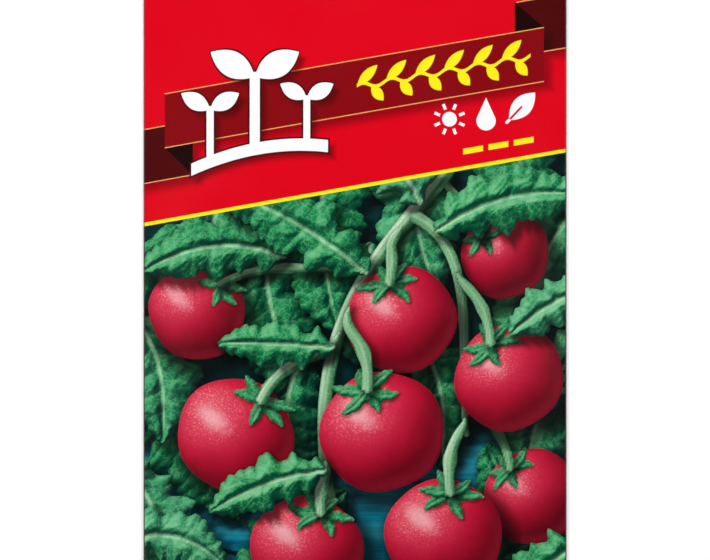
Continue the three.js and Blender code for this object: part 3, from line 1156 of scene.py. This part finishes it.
def seedling_group(x, y):
    shapes = [shape for sizes in SEEDLINGS for shape in seedling(x, y, *sizes)]
    ground = (y - SLANT * x) + (x + SOIL_MIDDLE) ** 2 * SOIL_BOW
    soil = slab(ground, SOIL_LOW, SOIL_HIGH).low(slab(x, SOIL_LEFT, SOIL_RIGHT))
    return union([*shapes, soil])


# %% A leafy sprig, and signs for sun, water and leaf
SPRIG_PITCH = 7.6
SPRIG_WAVE = 0.7
SPRIG_STEM = 0.46
SUN_RADIUS = 1.9
RAYS = 8
RAY_HALF = 0.38
RAY_START, RAY_END = 2.7, 4.2
DROP_RADIUS = 2.5
DROP_RISE = 6.0  # from the middle of its round foot to its point


def sprig(along, up):
    """A wavy stem with a leaf to each side in turn."""
    wave = (along * (math.tau / SPRIG_PITCH)).sin() * SPRIG_WAVE
    cell = along.mod(SPRIG_PITCH) - SPRIG_PITCH / 2
    upper = blade(cell, up, (-3.2, 0.3), (2.1, 4.7), 1.4)
    lower = blade(cell, up, (0.5, -0.4), (3.7, -4.7), 1.3)
    return union([SPRIG_STEM - abs(up - wave), upper, lower])


def sun(x, y, centre):
    out = ((x - centre[0]) ** 2 + (y - centre[1]) ** 2).sqrt()
    angle = (y - centre[1]).heading(x - centre[0])
    ray = abs((angle + math.pi).mod(math.tau / RAYS) - math.tau / (2 * RAYS))
    return union([SUN_RADIUS - out, (RAY_HALF - ray * out).low(slab(out, RAY_START, RAY_END))])


def drop(x, y, centre):
    """A round foot under two straight flanks that meet in a point."""
    foot = (centre[0], centre[1] - 1.6)
    lean = math.asin(DROP_RADIUS / DROP_RISE)
    up = y - foot[1]
    flanks = (DROP_RISE - up) * math.sin(lean) - abs(x - foot[0]) * math.cos(lean)
    return union([disc(x, y, foot, DROP_RADIUS), flanks.low(up - DROP_RADIUS * math.sin(lean))])


def leaf_sign(x, y, centre):
    foot, tip = (centre[0] - 3.2, centre[1] - 3.4), (centre[0] + 3.6, centre[1] + 3.8)
    rib = rod(x, y, foot, centre, 0.28)
    stem = rod(x, y, (foot[0] - 0.6, foot[1] - 0.6), foot, 0.38)
    return union([blade(x, y, foot, tip, 2.5).low(0 - rib), stem])


def signs(x, y, centres):
    return union([sign(x, y, centre) for sign, centre in zip((sun, drop, leaf_sign), centres)])


# %% The ornaments on the ribbon and under it
WHITE = ink(255, 255, 255)
SPRIG_LEFT, SPRIG_RIGHT = 0.5, 45.6
FRONT_SIGNS = ((24.5, 38.0), (34.0, 39.2), (43.2, 41.2))
DASH_LOW, DASH_HIGH = 23.9, 25.4
DASH_LEFT, DASH_RIGHT = 28.0, 46.5
DASH_PITCH, DASH_LENGTH = 6.6, 5.2
ORNAMENT_SHADOW = 1.6
ORNAMENT_RIM = 0.45


def ornaments(n, x, y, s, colour):
    stretch = math.hypot(1, SLANT)
    garland = sprig(x * stretch, (s - (BAND_LOW + BAND_HIGH) / 2) / stretch)
    colour = n.mix(colour, YELLOW, cover(garland.low(slab(x, SPRIG_LEFT, SPRIG_RIGHT))))
    colour = n.mix(colour, WHITE, cover(signs(x, y, FRONT_SIGNS)))
    dash = slab((x - DASH_LEFT).mod(DASH_PITCH), 0, DASH_LENGTH)
    dashes = slab(s, DASH_LOW, DASH_HIGH).low(dash).low(slab(x, DASH_LEFT, DASH_RIGHT))
    colour = n.mix(colour, YELLOW, cover(dashes))
    shade = cover(seedling_group(x - ORNAMENT_SHADOW, y + ORNAMENT_SHADOW), 1.3)
    colour = n.mix(colour, RIBBON_BACK, shade * 0.75)
    seedlings = seedling_group(x, y)
    colour = n.mix(colour, RIBBON_BACK, cover(seedlings + ORNAMENT_RIM))
    return n.mix(colour, WHITE, cover(seedlings))


# %% [markdown]
# ## Gloss, fibre and worn folds
#
# Under any print the paper is the same: a glossy coat with fine fibre under it, a little hollow here and
# there, darker along the side folds with painted shade, and white where the coat has cracked. So one
# function makes that paper, and is given another function for the print. The wear is noise that is let
# through only in narrow strips along the folds, because paint worn off by chance all over looks like dirt.


# %% The paper under any print
PAPER_WHITE = ink(240, 238, 232)
FIBRE_WHITE = ink(226, 222, 214)
FOLD_SHADE = ink(70, 34, 30)
WEAR_SCALE, FIBRE_SCALE, SHEEN_SCALE = 900.0, 2600.0, 70.0
# The painted shade along the side folds reaches this far in.
FOLD_SHADE_WIDTH = 0.5  # how far in from a side fold it is darker
SIDE_WEAR, END_WEAR, CORNER_WEAR = 0.12, 0.35, 0.9  # how far in the white shows


def worn_folds(x, y):
    at_side = (abs(x) - (HALF_WIDTH - SIDE_WEAR)).ease(0.0, 0.12) * 0.25
    at_end = (abs(y) - (HALF_HEIGHT - END_WEAR)).ease(0.0, 0.3) * 0.4
    at_corner = (abs(x) + abs(y) - (HALF_WIDTH + HALF_HEIGHT - CORNER_WEAR)).ease(0.0, 0.8)
    return at_side.high(at_end).high(at_corner)


def paper(name, colour_of, gloss=0.36):
    made, n = new_material(name)
    where, (x, y, z) = place_mm(n)
    at_fold = (abs(x) - (HALF_WIDTH - FOLD_SHADE_WIDTH)).ease(0.0, 0.4)
    # Painted shade darkens the paper along the side folds, where the rounded fold turns from the light.
    colour = n.mix(colour_of(n, where, x, y, z), FOLD_SHADE, at_fold * 0.75)
    wear = n.node("ShaderNodeTexNoise", {}, {"Vector": where, "Scale": WEAR_SCALE, "Detail": 4.0})
    fibre = n.node("ShaderNodeTexNoise", {}, {"Vector": where, "Scale": FIBRE_SCALE, "Detail": 3.0})
    sheen = n.node("ShaderNodeTexNoise", {}, {"Vector": where, "Scale": SHEEN_SCALE, "Detail": 2.0})
    worn = worn_folds(x, y)
    rough = 0.5 - gloss + sheen * 0.10 + worn * 0.25 + at_fold * 0.5 + fibre * 0.05
    relief = {"Strength": 0.12, "Distance": 0.0002, "Height": fibre * 0.6 + sheen * 1.4}
    looks = {"Base Color": n.mix(colour, FIBRE_WHITE, worn * wear.ease(0.50, 0.62)), "IOR": 1.5}
    looks.update({"Roughness": rough, "Normal": n.node("ShaderNodeBump", {}, relief)})
    give_surface(n, looks)
    return made


# %% The front's paper
def front_print(n, where, x, y, z):
    """The print runs over the folds to their outermost line, and the paper below it is bare."""
    s = y - x * SLANT
    colour = ground_and_stripe(n, s, picture(n, where))
    colour = ornaments(n, x, y, s, ribbon(n, x, y, s, colour))
    return n.mix(colour, PAPER_WHITE, cover(BACK_LEVEL + FOLD_RADIUS - z, 0.03))


front_paper = paper("front_print", front_print)
print("front print", len(front_paper.node_tree.nodes), "nodes")


# %% [markdown]
# ## The back
#
# The photo doesn't show it. A seed packet's back gives sowing advice in small type beside a calendar.
# Type could be set with text objects, but grey dashes look the same at this size and say nothing. So it
# has a crimson heading bar, rows of dashes, and a calendar of twelve columns with plain numbers, a green
# row for sowing and a crimson row for picking. The top flap is the header's red, and the bottom flap the
# green of the leaves.


# %% Rows of dashes, seen from below with the back's right-hand side at -X
CRIMSON = ink(176, 16, 40)
GREY = ink(120, 118, 114)
MARGIN = 46.8
LINE_PITCH = 2.6
LINE_LOW, LINE_HIGH = 0.7, 1.75
WORD_PITCH = 1.3
WORD_GAPS = 0.17  # the share of words left out
RAGGED = 14  # by how much a line may be shorter
TEXT_LOW, TEXT_HIGH = -20.8, 36.4


def rows_of_dashes(n, u, y):
    row = (y / LINE_PITCH).floor()
    word = (u / WORD_PITCH).floor()
    spot = n.node("ShaderNodeCombineXYZ", {}, {"X": word, "Y": row})
    chance = n.node("ShaderNodeTexWhiteNoise", {"noise_dimensions": "2D"}, {"Vector": spot})
    ragged = n.node("ShaderNodeTexWhiteNoise", {"noise_dimensions": "1D"}, {"W": row})
    line = slab(y.mod(LINE_PITCH), LINE_LOW, LINE_HIGH)
    line = line.low(u + MARGIN).low(MARGIN - u - ragged * RAGGED)
    return cover(line) * (chance > WORD_GAPS) * cover(slab(y, TEXT_LOW, TEXT_HIGH))


# %% The calendar
HEAD_GREY = ink(222, 218, 206)
SOW_GREEN = ink(60, 140, 80)
SOW_MONTHS = ((3, 5), (8, 9))
PICK_MONTHS = ((5, 7), (10, 10))
MONTH_WIDTH = 6.8
ROW_HEIGHT = 6.0
CALENDAR_LEFT = -6 * MONTH_WIDTH
CALENDAR_TOP = -26.0
BAR_INSET, BAR_GAP = 0.5, 1.4
RULE_HALF, RULE_OVERHANG = 0.10, 0.12


def month_bars(u, y, months, row):
    """Bars over these months, in this row under the calendar's head."""
    bars = []
    for first, last in months:
        left = CALENDAR_LEFT + (first - 1) * MONTH_WIDTH
        right = CALENDAR_LEFT + last * MONTH_WIDTH
        bars.append(slab(u, left + BAR_INSET, right - BAR_INSET))
    top = CALENDAR_TOP - row * ROW_HEIGHT
    return union(bars).low(slab(y, top - ROW_HEIGHT + BAR_GAP, top - BAR_GAP))


def rules_every(value, first, pitch):
    """Fine lines at each whole pitch from the first."""
    return RULE_HALF - abs((value - first + 0.5 * pitch).mod(pitch) - 0.5 * pitch)


def calendar(n, u, y, colour):
    head = rectangle(u, y, CALENDAR_LEFT, -CALENDAR_LEFT, CALENDAR_TOP - ROW_HEIGHT, CALENDAR_TOP)
    colour = n.mix(colour, HEAD_GREY, cover(head))
    colour = n.mix(colour, SOW_GREEN, cover(month_bars(u, y, SOW_MONTHS, 1)))
    colour = n.mix(colour, CRIMSON, cover(month_bars(u, y, PICK_MONTHS, 2)))
    whole = rectangle(u, y, CALENDAR_LEFT, -CALENDAR_LEFT, CALENDAR_TOP - 3 * ROW_HEIGHT, CALENDAR_TOP)
    rules = union([rules_every(y, CALENDAR_TOP, ROW_HEIGHT), rules_every(u, CALENDAR_LEFT, MONTH_WIDTH)])
    return n.mix(colour, GREY, cover(rules) * cover(whole + RULE_OVERHANG))


# %% The back's print, the flaps' and the bare paper
LEAF_GREEN = ink(10, 84, 52)
HEADING_LOW, HEADING_HIGH = 41, 50
BACK_SIGNS = ((-37, 45.5), (-24, 45.8), (-11, 45.5))
# Half the width of the painted shadow along the lap's edge.
SEAM_SHADOW_HALF = 0.09
JUMP_ASIDE, JUMP_UP = 0.35, 0.3  # the sheet's two edges never meet quite true, so the print jumps at the lap


def back_print(n, where, x, y, z):
    outer_half = x > -LAP_HALF
    u = 0 - x + outer_half * JUMP_ASIDE
    y = y + outer_half * JUMP_UP
    colour = n.mix(PAPER_WHITE, CRIMSON, cover(rectangle(u, y, -MARGIN, MARGIN, HEADING_LOW, HEADING_HIGH)))
    colour = n.mix(colour, GREY, rows_of_dashes(n, u, y))
    colour = n.mix(colour, WHITE, cover(signs(u, y, BACK_SIGNS)))
    colour = calendar(n, u, y, colour)
    # A thin painted shadow along the edge of the lap.
    return n.mix(colour, GREY, cover(SEAM_SHADOW_HALF - abs(x + LAP_HALF)) * 0.45)


def plain(colour):
    """A print of one colour all over."""
    return lambda n, *place: n.mix(colour, colour, 0.0)


back_paper = paper("back_print", back_print)
bare_paper = paper("bare_paper", plain(PAPER_WHITE), gloss=0.0)
for flap, colour in ((top_flap, RED), (bottom_flap, LEAF_GREEN)):
    flap.data.materials.append(paper(flap.name + "_print", plain(colour)))
    flap.data.materials.append(bare_paper)
print("back print", len(back_paper.node_tree.nodes), "nodes")


# %% [markdown]
# ## The calendar's numbers
#
# The months are numbered in dark ink. A digit is too awkward a shape for a sum, so each number is a text
# object turned into a flat mesh. It faces down like the panel and lies a hair proud of it, because two
# faces in one place would flicker.


# %% One number as flat faces
NUMBER_HEIGHT = 3.4
NUMBER_SIZE = 1.35 * NUMBER_HEIGHT
NUMBER_PROUD = 0.012
MONTHS = 12
number_ink, n = new_material("number_ink")
give_surface(n, {"Base Color": ink(60, 58, 56), "Roughness": 0.6})


def flat_text(text):
    """The points, as x and y from the middle of the text's foot, and the faces."""
    curve = bpy.data.curves.new("number", "FONT")
    curve.body = text
    curve.size = NUMBER_SIZE
    curve.align_x = "CENTER"
    curve.resolution_u = 4
    writer = bpy.data.objects.new("number", curve)
    bpy.context.scene.collection.objects.link(writer)
    graph = bpy.context.evaluated_depsgraph_get()
    flat = bpy.data.meshes.new_from_object(writer.evaluated_get(graph), depsgraph=graph)
    points = [(vertex.co.x, vertex.co.y) for vertex in flat.vertices]
    faces = [tuple(face.vertices) for face in flat.polygons]
    bpy.data.objects.remove(writer)
    bpy.data.curves.remove(curve)
    bpy.data.meshes.remove(flat)
    return points, faces


# %% All twelve of them
def calendar_numbers():
    """One flat mesh that faces down, a hair under the back panel's face."""
    points, faces = [], []
    foot = CALENDAR_TOP - 0.5 * ROW_HEIGHT - 0.5 * NUMBER_HEIGHT
    for month in range(MONTHS):
        middle = CALENDAR_LEFT + (month + 0.5) * MONTH_WIDTH
        number_points, number_faces = flat_text(str(month + 1))
        faces += [tuple(len(points) + i for i in face) for face in number_faces]
        points += [(-(middle + right), foot + up, 0.0) for right, up in number_points]
    points = np.array(points)
    points[:, 2] = back_height(points[:, 0], points[:, 1]) - NUMBER_PROUD
    made = new_piece("calendar_numbers", points, faces)
    made.data.materials.append(number_ink)
    return made


numbers = calendar_numbers()
lowest = min(vertex.co.z for vertex in numbers.data.vertices) / MM
print("numbers", len(numbers.data.polygons), "faces, lowest", round(lowest, 3), "mm")


# %% [markdown]
# ## The belly
#
# Paper doesn't stretch, so a filled packet rises in one low swell that dies away at the folds. It also
# buckles a little along its sides, and the seeds show through as faint bumps. It could be sculpted by
# hand, but all of that is a rule on x and y, so it is a Geometry Nodes tree that moves the front's
# points, with the sizes of the swell as its inputs. The sheet is printed first and swells afterwards, as
# the real one does, so the tree also gives each face its print. A tree is built in code, run once through
# a modifier, and its result kept as a plain mesh.


# %% A Geometry Nodes group with named inputs
def geometry_group(name, sizes):
    """A new group with a geometry in and out and the named sizes, as (tree, Nodes, {name: Value})."""
    tree = bpy.data.node_groups.new(name, "GeometryNodeTree")
    tree.interface.new_socket("Geometry", in_out="INPUT", socket_type="NodeSocketGeometry")
    for label, value in sizes.items():
        socket = tree.interface.new_socket(label, in_out="INPUT", socket_type="NodeSocketFloat")
        socket.default_value = value
    tree.interface.new_socket("Geometry", in_out="OUTPUT", socket_type="NodeSocketGeometry")
    build = Nodes(tree)
    entry = tree.nodes.new("NodeGroupInput")
    given = {label: Value(build, entry.outputs[label]) for label in ("Geometry", *sizes)}
    return tree, build, given


def close_group(build, geometry):
    leave = build.tree.nodes.new("NodeGroupOutput")
    build.give(leave.inputs["Geometry"], geometry)


# %% Run a group once, and keep what it makes
def apply_group(piece, tree, sizes):
    """The result is the piece's own plain mesh. A modifier's input is set by its socket's identifier."""
    modifier = piece.modifiers.new(tree.name, "NODES")
    modifier.node_group = tree
    for item in tree.interface.items_tree:
        if item.in_out == "INPUT" and item.name in sizes:
            modifier[item.identifier] = float(sizes[item.name])
    graph = bpy.context.evaluated_depsgraph_get()
    made = bpy.data.meshes.new_from_object(piece.evaluated_get(graph), depsgraph=graph)
    piece.modifiers.remove(modifier)
    old = piece.data
    piece.data = made
    bpy.data.meshes.remove(old)
    made.name = piece.name


# %% The swell, the buckles and the seeds' bumps
BELLY = {
    "Half Width": HALF_WIDTH * MM,
    "Height": HEIGHT * MM,
    "Rise": (THICKNESS - BELLY_CREST - BACK_LEVEL - FOLD_HEIGHT) * MM,
    "Level": 0.75,
    "Flatness": 2.4,
    "Pinch": 1.2,
    "Buckle": 0.14 * MM,
    "Ripple": 0.10 * MM,
    "Seed Bump": 0.035 * MM,
}
BUCKLE_SCALE, RIPPLE_SCALE, BUMP_SCALE = 55.0, 26.0, 340.0
BUCKLE_START, BUCKLE_FULL, BUCKLE_END = 0.004, 0.005, 0.024  # metres in from a side fold


def up_and_down(n, place, scale):
    """A soft noise from -1 to 1."""
    soft = n.node("ShaderNodeTexNoise", {}, {"Vector": place, "Scale": scale, "Detail": 1.0})
    return (soft - 0.5) * 2


def belly_lift(n, given):
    place = n.node("GeometryNodeInputPosition")
    x, y, _ = n.split(place)
    across = (abs(x) / given["Half Width"]).low(1)
    along = (y / given["Height"] + 0.5).high(0).low(1)
    along_share = (along ** given["Level"] * math.pi).sin().high(0)
    share = (1 - across ** given["Flatness"]) ** given["Pinch"] * along_share
    # Short buckles that start just inside a side fold and fade towards the middle.
    from_side = given["Half Width"] - abs(x)
    near_side = from_side.ease(0.0, BUCKLE_START) * from_side.ease(BUCKLE_END, BUCKLE_FULL)
    buckle = up_and_down(n, place, BUCKLE_SCALE) * given["Buckle"] * near_side * along_share
    # A slower ripple over the whole front, which its gloss shows.
    ripple = up_and_down(n, place, RIPPLE_SCALE) * given["Ripple"] * share.ease(0.0, 0.3)
    # Seeds pushing against the paper, only where they lie.
    cells = n.node("ShaderNodeTexVoronoi", {"feature": "SMOOTH_F1"}, {"Vector": place, "Scale": BUMP_SCALE})
    bump = (0.5 - cells) * given["Seed Bump"] * share.ease(0.72, 0.97)
    return given["Rise"] * share + buckle + ripple + bump


# %% Lift the front's points, and give each face its print
def named(n, kind, name):
    return n.node("GeometryNodeInputNamedAttribute", {"data_type": kind}, {"Name": name})


def belly_group(front_paper, back_paper):
    tree, n, given = geometry_group("packet_belly", BELLY)
    lift = belly_lift(n, given) * named(n, "FLOAT", "front")
    offset = n.node("ShaderNodeCombineXYZ", {}, {"Z": lift})
    moved = n.node("GeometryNodeSetPosition", {}, {"Geometry": given["Geometry"], "Offset": offset})
    whole = n.node("GeometryNodeRealizeInstances", {}, {"Geometry": moved})
    printed = n.node("GeometryNodeSetMaterial", {}, {"Geometry": whole, "Material": front_paper})
    kinds = {"Geometry": printed, "Selection": named(n, "BOOLEAN", "is_back"), "Material": back_paper}
    close_group(n, n.node("GeometryNodeSetMaterial", {}, kinds))
    return tree


apply_group(sheet, belly_group(front_paper, back_paper), BELLY)
crest = max(v.co.z for v in sheet.data.vertices)
print("crest of the belly", round(crest / MM, 2), "mm, solids", round(THICKNESS, 2), "mm")
print("sheet's materials", [m.name for m in sheet.data.materials])


# %% [markdown]
# ## The seeds inside
#
# A few hundred loose seeds lie where the packet is fullest, one layer deep with a second one in its
# hollows. They could be dropped in by a physics run, but they never show, because the packet is closed,
# and such a run is slow and may end in another heap on another machine. So Geometry Nodes sets points out
# in a honeycomb, puts a small ball of 80 faces on each, turns and sizes it at random with a fixed seed,
# and gives it a tint.


# %% The seeds' coat: dull and finely pitted
PIT_SCALE = 2600.0
SEED_TAN, SEED_BROWN, PIT_SHADE = ink(176, 122, 74), ink(128, 66, 44), ink(96, 54, 36)
coat, n = new_material("seed_coat")
where, _ = place_mm(n)
tint = n.node("ShaderNodeAttribute", {"attribute_name": "tint", "attribute_type": "GEOMETRY"}, None, 2)
pits = n.node("ShaderNodeTexVoronoi", {}, {"Vector": where, "Scale": PIT_SCALE})
# Shade is painted into the pits of the bump, darkening the coat there.
body = n.mix(n.mix(SEED_TAN, SEED_BROWN, tint), PIT_SHADE, pits.ease(0.45, 0.1) * 0.5)
pitted = n.node("ShaderNodeBump", {}, {"Strength": 0.5, "Distance": 0.0001, "Height": pits})
give_surface(n, {"Base Color": body, "Roughness": 0.72, "Normal": pitted})


# %% A honeycomb of points, kept where they lie in an ellipse
heap_low, heap_high = (np.array(corner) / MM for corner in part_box("loose_seeds"))
SEED_RADIUS = 1.25
SEEDS = {
    "Half Width": (heap_high[0] - heap_low[0]) / 2 * MM,
    "Half Height": (heap_high[1] - heap_low[1]) / 2 * MM,
    "Middle": (heap_high[1] + heap_low[1]) / 2 * MM,
    "Pitch": 2.95 * MM,
    "Radius": SEED_RADIUS * MM,
    "First Layer": (heap_low[2] + SEED_RADIUS) * MM,
    "Layer Rise": 1.8 * MM,
    "Second Reach": 0.66,
}
SEED_COLUMNS = 19
SEED_ROWS = 17
ROW_STEP = math.sqrt(0.75)  # from row to row, in pitches
print("heap of the solids", heap_low.round(2), heap_high.round(2))


def honeycomb(n, given, level, reach, shift):
    sizes = {
        "Size X": given["Pitch"] * (SEED_COLUMNS - 1),
        "Size Y": given["Pitch"] * (SEED_ROWS - 1) * ROW_STEP,
        "Vertices X": SEED_COLUMNS,
        "Vertices Y": SEED_ROWS,
    }
    x, y, _ = n.split(n.node("GeometryNodeInputPosition"))
    row = (y / (given["Pitch"] * ROW_STEP) + 0.5).floor()
    aside = row.mod(2) * given["Pitch"] / 2 + given["Pitch"] * shift
    offset = n.node("ShaderNodeCombineXYZ", {}, {"X": aside, "Z": level})
    grid = n.node("GeometryNodeMeshGrid", {}, sizes)
    placed = n.node("GeometryNodeSetPosition", {}, {"Geometry": grid, "Offset": offset})
    room_x = given["Half Width"] * reach - given["Radius"]
    room_y = given["Half Height"] * reach - given["Radius"]
    unwanted = {"Geometry": placed, "Selection": ((x / room_x) ** 2 + (y / room_y) ** 2) > 1}
    return n.node("GeometryNodeDeleteGeometry", {"domain": "POINT"}, unwanted)


# %% A seed on each point, turned, sized and tinted at random
TURNS = (6.2, 6.2, 6.2)  # radians, nearly once round each axis
SMALLEST, LARGEST = 0.9, 1.06
BREADTH, DEPTH = 0.94, 0.88  # in shares of its length
SEED_FACES = 80  # of an icosahedron with each face cut in four


def random_number(n, seed, low=0.0, high=1.0):
    """The node has sockets of the same name for vectors and numbers, so the numbers' go by their places."""
    limits = {2: low, 3: high, "Seed": seed}
    return n.node("FunctionNodeRandomValue", {"data_type": "FLOAT"}, limits, output=1)


def seed_layer(n, given, level, reach, shift, seed):
    turn = n.node("FunctionNodeRandomValue", {"data_type": "FLOAT_VECTOR"}, {"Max": TURNS, "Seed": seed})
    size = random_number(n, seed + 1, SMALLEST, LARGEST)
    oval = n.node("ShaderNodeCombineXYZ", {}, {"X": size, "Y": size * BREADTH, "Z": size * DEPTH})
    ball = n.node("GeometryNodeMeshIcoSphere", {}, {"Radius": given["Radius"], "Subdivisions": 2})
    points = honeycomb(n, given, level, reach, shift)
    placing = {"Points": points, "Instance": ball, "Rotation": turn, "Scale": oval}
    placed = n.node("GeometryNodeInstanceOnPoints", {}, placing)
    store = {"data_type": "FLOAT", "domain": "INSTANCE"}
    tints = {"Geometry": placed, "Name": "tint", "Value": random_number(n, seed + 2)}
    return n.node("GeometryNodeStoreNamedAttribute", store, tints)


# %% The heap of two layers
FIRST_SEED, SECOND_SEED = 3, 13


def seed_group(coat):
    tree, n, given = geometry_group("seed_heap", SEEDS)
    first = seed_layer(n, given, given["First Layer"], 1.0, 0.0, FIRST_SEED)
    upper = given["First Layer"] + given["Layer Rise"]
    second = seed_layer(n, given, upper, given["Second Reach"], 0.5, SECOND_SEED)
    both = n.node("GeometryNodeJoinGeometry", {}, {"Geometry": first})
    n.tree.links.new(second.socket, both.socket.node.inputs["Geometry"])
    offset = n.node("ShaderNodeCombineXYZ", {}, {"Y": given["Middle"]})
    moved = n.node("GeometryNodeSetPosition", {}, {"Geometry": both, "Offset": offset})
    whole = n.node("GeometryNodeRealizeInstances", {}, {"Geometry": moved})
    close_group(n, n.node("GeometryNodeSetMaterial", {}, {"Geometry": whole, "Material": coat}))
    return tree


seeds = new_piece("seeds", np.zeros((0, 3)), [])
apply_group(seeds, seed_group(coat), SEEDS)
spots = np.array([v.co for v in seeds.data.vertices]) / MM
print("seeds", len(seeds.data.polygons) // SEED_FACES, "from", spots.min(0).round(2), "to", spots.max(0).round(2))


# %% [markdown]
# ## The table, the light and the camera
#
# The photo is a straight look down on the front, evenly lit on white. A bright sky alone would light it
# as evenly, but the front's gloss would mirror it and grey the print. So two long soft lights stand low
# at the sides and one at the head, the way a flat thing is lit for copying, and the sky is dark straight
# above. The table glows a little, more so far away, so that it stays white from any side.


# %% Table
TABLE_SIZE = 3.0
GLOW_NEAR, GLOW_FAR = 0.17, 0.85
GLOW_START, GLOW_END = 250, 1000  # millimetres from the packet's middle
bpy.ops.mesh.primitive_plane_add(size=TABLE_SIZE)
floor = bpy.context.object
floor.name = "floor"
white, n = new_material("white_table")
_, (x, y, _) = place_mm(n)
far = (x * x + y * y).sqrt().ease(GLOW_START, GLOW_END)
table_looks = {"Base Color": (0.95, 0.95, 0.95, 1), "Roughness": 0.9, "Emission Strength": 1.0}
table_looks["Emission Color"] = n.mix((*[GLOW_NEAR] * 3, 1), (*[GLOW_FAR] * 3, 1), far)
give_surface(n, table_looks)
floor.data.materials.append(white)
floor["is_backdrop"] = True


# %% Lights that look at the packet
LIGHTS = (  # name, azimuth and elevation in degrees, distance and width in metres, watts
    ("left_light", 165, 40, 1.1, 0.8, 7.0),
    ("right_light", 15, 40, 1.1, 0.8, 5.6),
    ("head_light", 90, 42, 1.2, 0.9, 5.3),
)
LIGHT_BREADTH = 0.6  # of its width


def soft_light(name, azimuth, elevation, distance, width, power):
    data = bpy.data.lights.new(name, "AREA")
    data.shape = "RECTANGLE"
    data.size = width
    data.size_y = width * LIGHT_BREADTH
    data.energy = power
    lamp = bpy.data.objects.new(name, data)
    a, e = math.radians(azimuth), math.radians(elevation)
    way = (math.cos(a) * math.cos(e), math.sin(a) * math.cos(e), math.sin(e))
    lamp.location = [distance * v for v in way]
    lamp.rotation_euler = (math.pi / 2 - e, 0, a + math.pi / 2)
    bpy.context.scene.collection.objects.link(lamp)


for light in LIGHTS:
    soft_light(*light)


# %% The studio round it: pale walls under a dark ceiling
CEILING, WALLS = 0.03, 0.25
world = bpy.data.worlds.new("studio")
world.use_nodes = True
n = Nodes(world.node_tree)
_, _, up = n.split(n.node("ShaderNodeTexCoord"))
background = world.node_tree.nodes["Background"]
background.inputs["Color"].default_value = (1, 1, 1, 1)
n.give(background.inputs["Strength"], CEILING + up.ease(0.88, 0.5) * WALLS)
bpy.context.scene.world = world
bpy.context.scene.view_settings.view_transform = "Standard"
bpy.context.scene.view_settings.look = "None"


# %% Camera, straight over the packet
PIXEL = 0.26  # millimetres on the packet
IMAGE_WIDTH = 710
LENS = 200.0
SENSOR = 36.0
AIM_Y = -0.0037  # the middle of what the photo shows, a little below the packet's middle
field = PIXEL * IMAGE_WIDTH * MM
camera_data = bpy.data.cameras.new("camera")
camera_data.lens = LENS
camera_data.sensor_width = SENSOR
camera = bpy.data.objects.new("camera", camera_data)
camera.location = (0, AIM_Y, field * LENS / SENSOR + FOLD_HEIGHT * MM)
bpy.context.scene.collection.objects.link(camera)
bpy.context.scene.camera = camera
print("camera", round(camera.location.z, 3), "m up")


# %% [markdown]
# ## What each piece is, and the size
#
# The sheet, its flaps and the numbers printed on it are one piece of paper in the real packet, so they
# stand for one solid, and the seeds for the other. Joining the paper's pieces into one mesh would say the
# same, but kept apart each has its own few materials. Nothing moves, so all ride on the one body. The box
# round the pieces is then printed beside the solids' box. A dressed part has to be as large as its
# solids.


# %% Attach the pieces to the one body, hide the solids, and print both boxes
for piece in (sheet, top_flap, bottom_flap, numbers):
    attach(piece, "root")
    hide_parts("paper_packet")
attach(seeds, "root")
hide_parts("loose_seeds")

visual_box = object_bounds()
for name, box in (("cad", cad_box), ("visual", visual_box)):
    print(name, [[round(v / MM, 3) for v in corner] for corner in box])
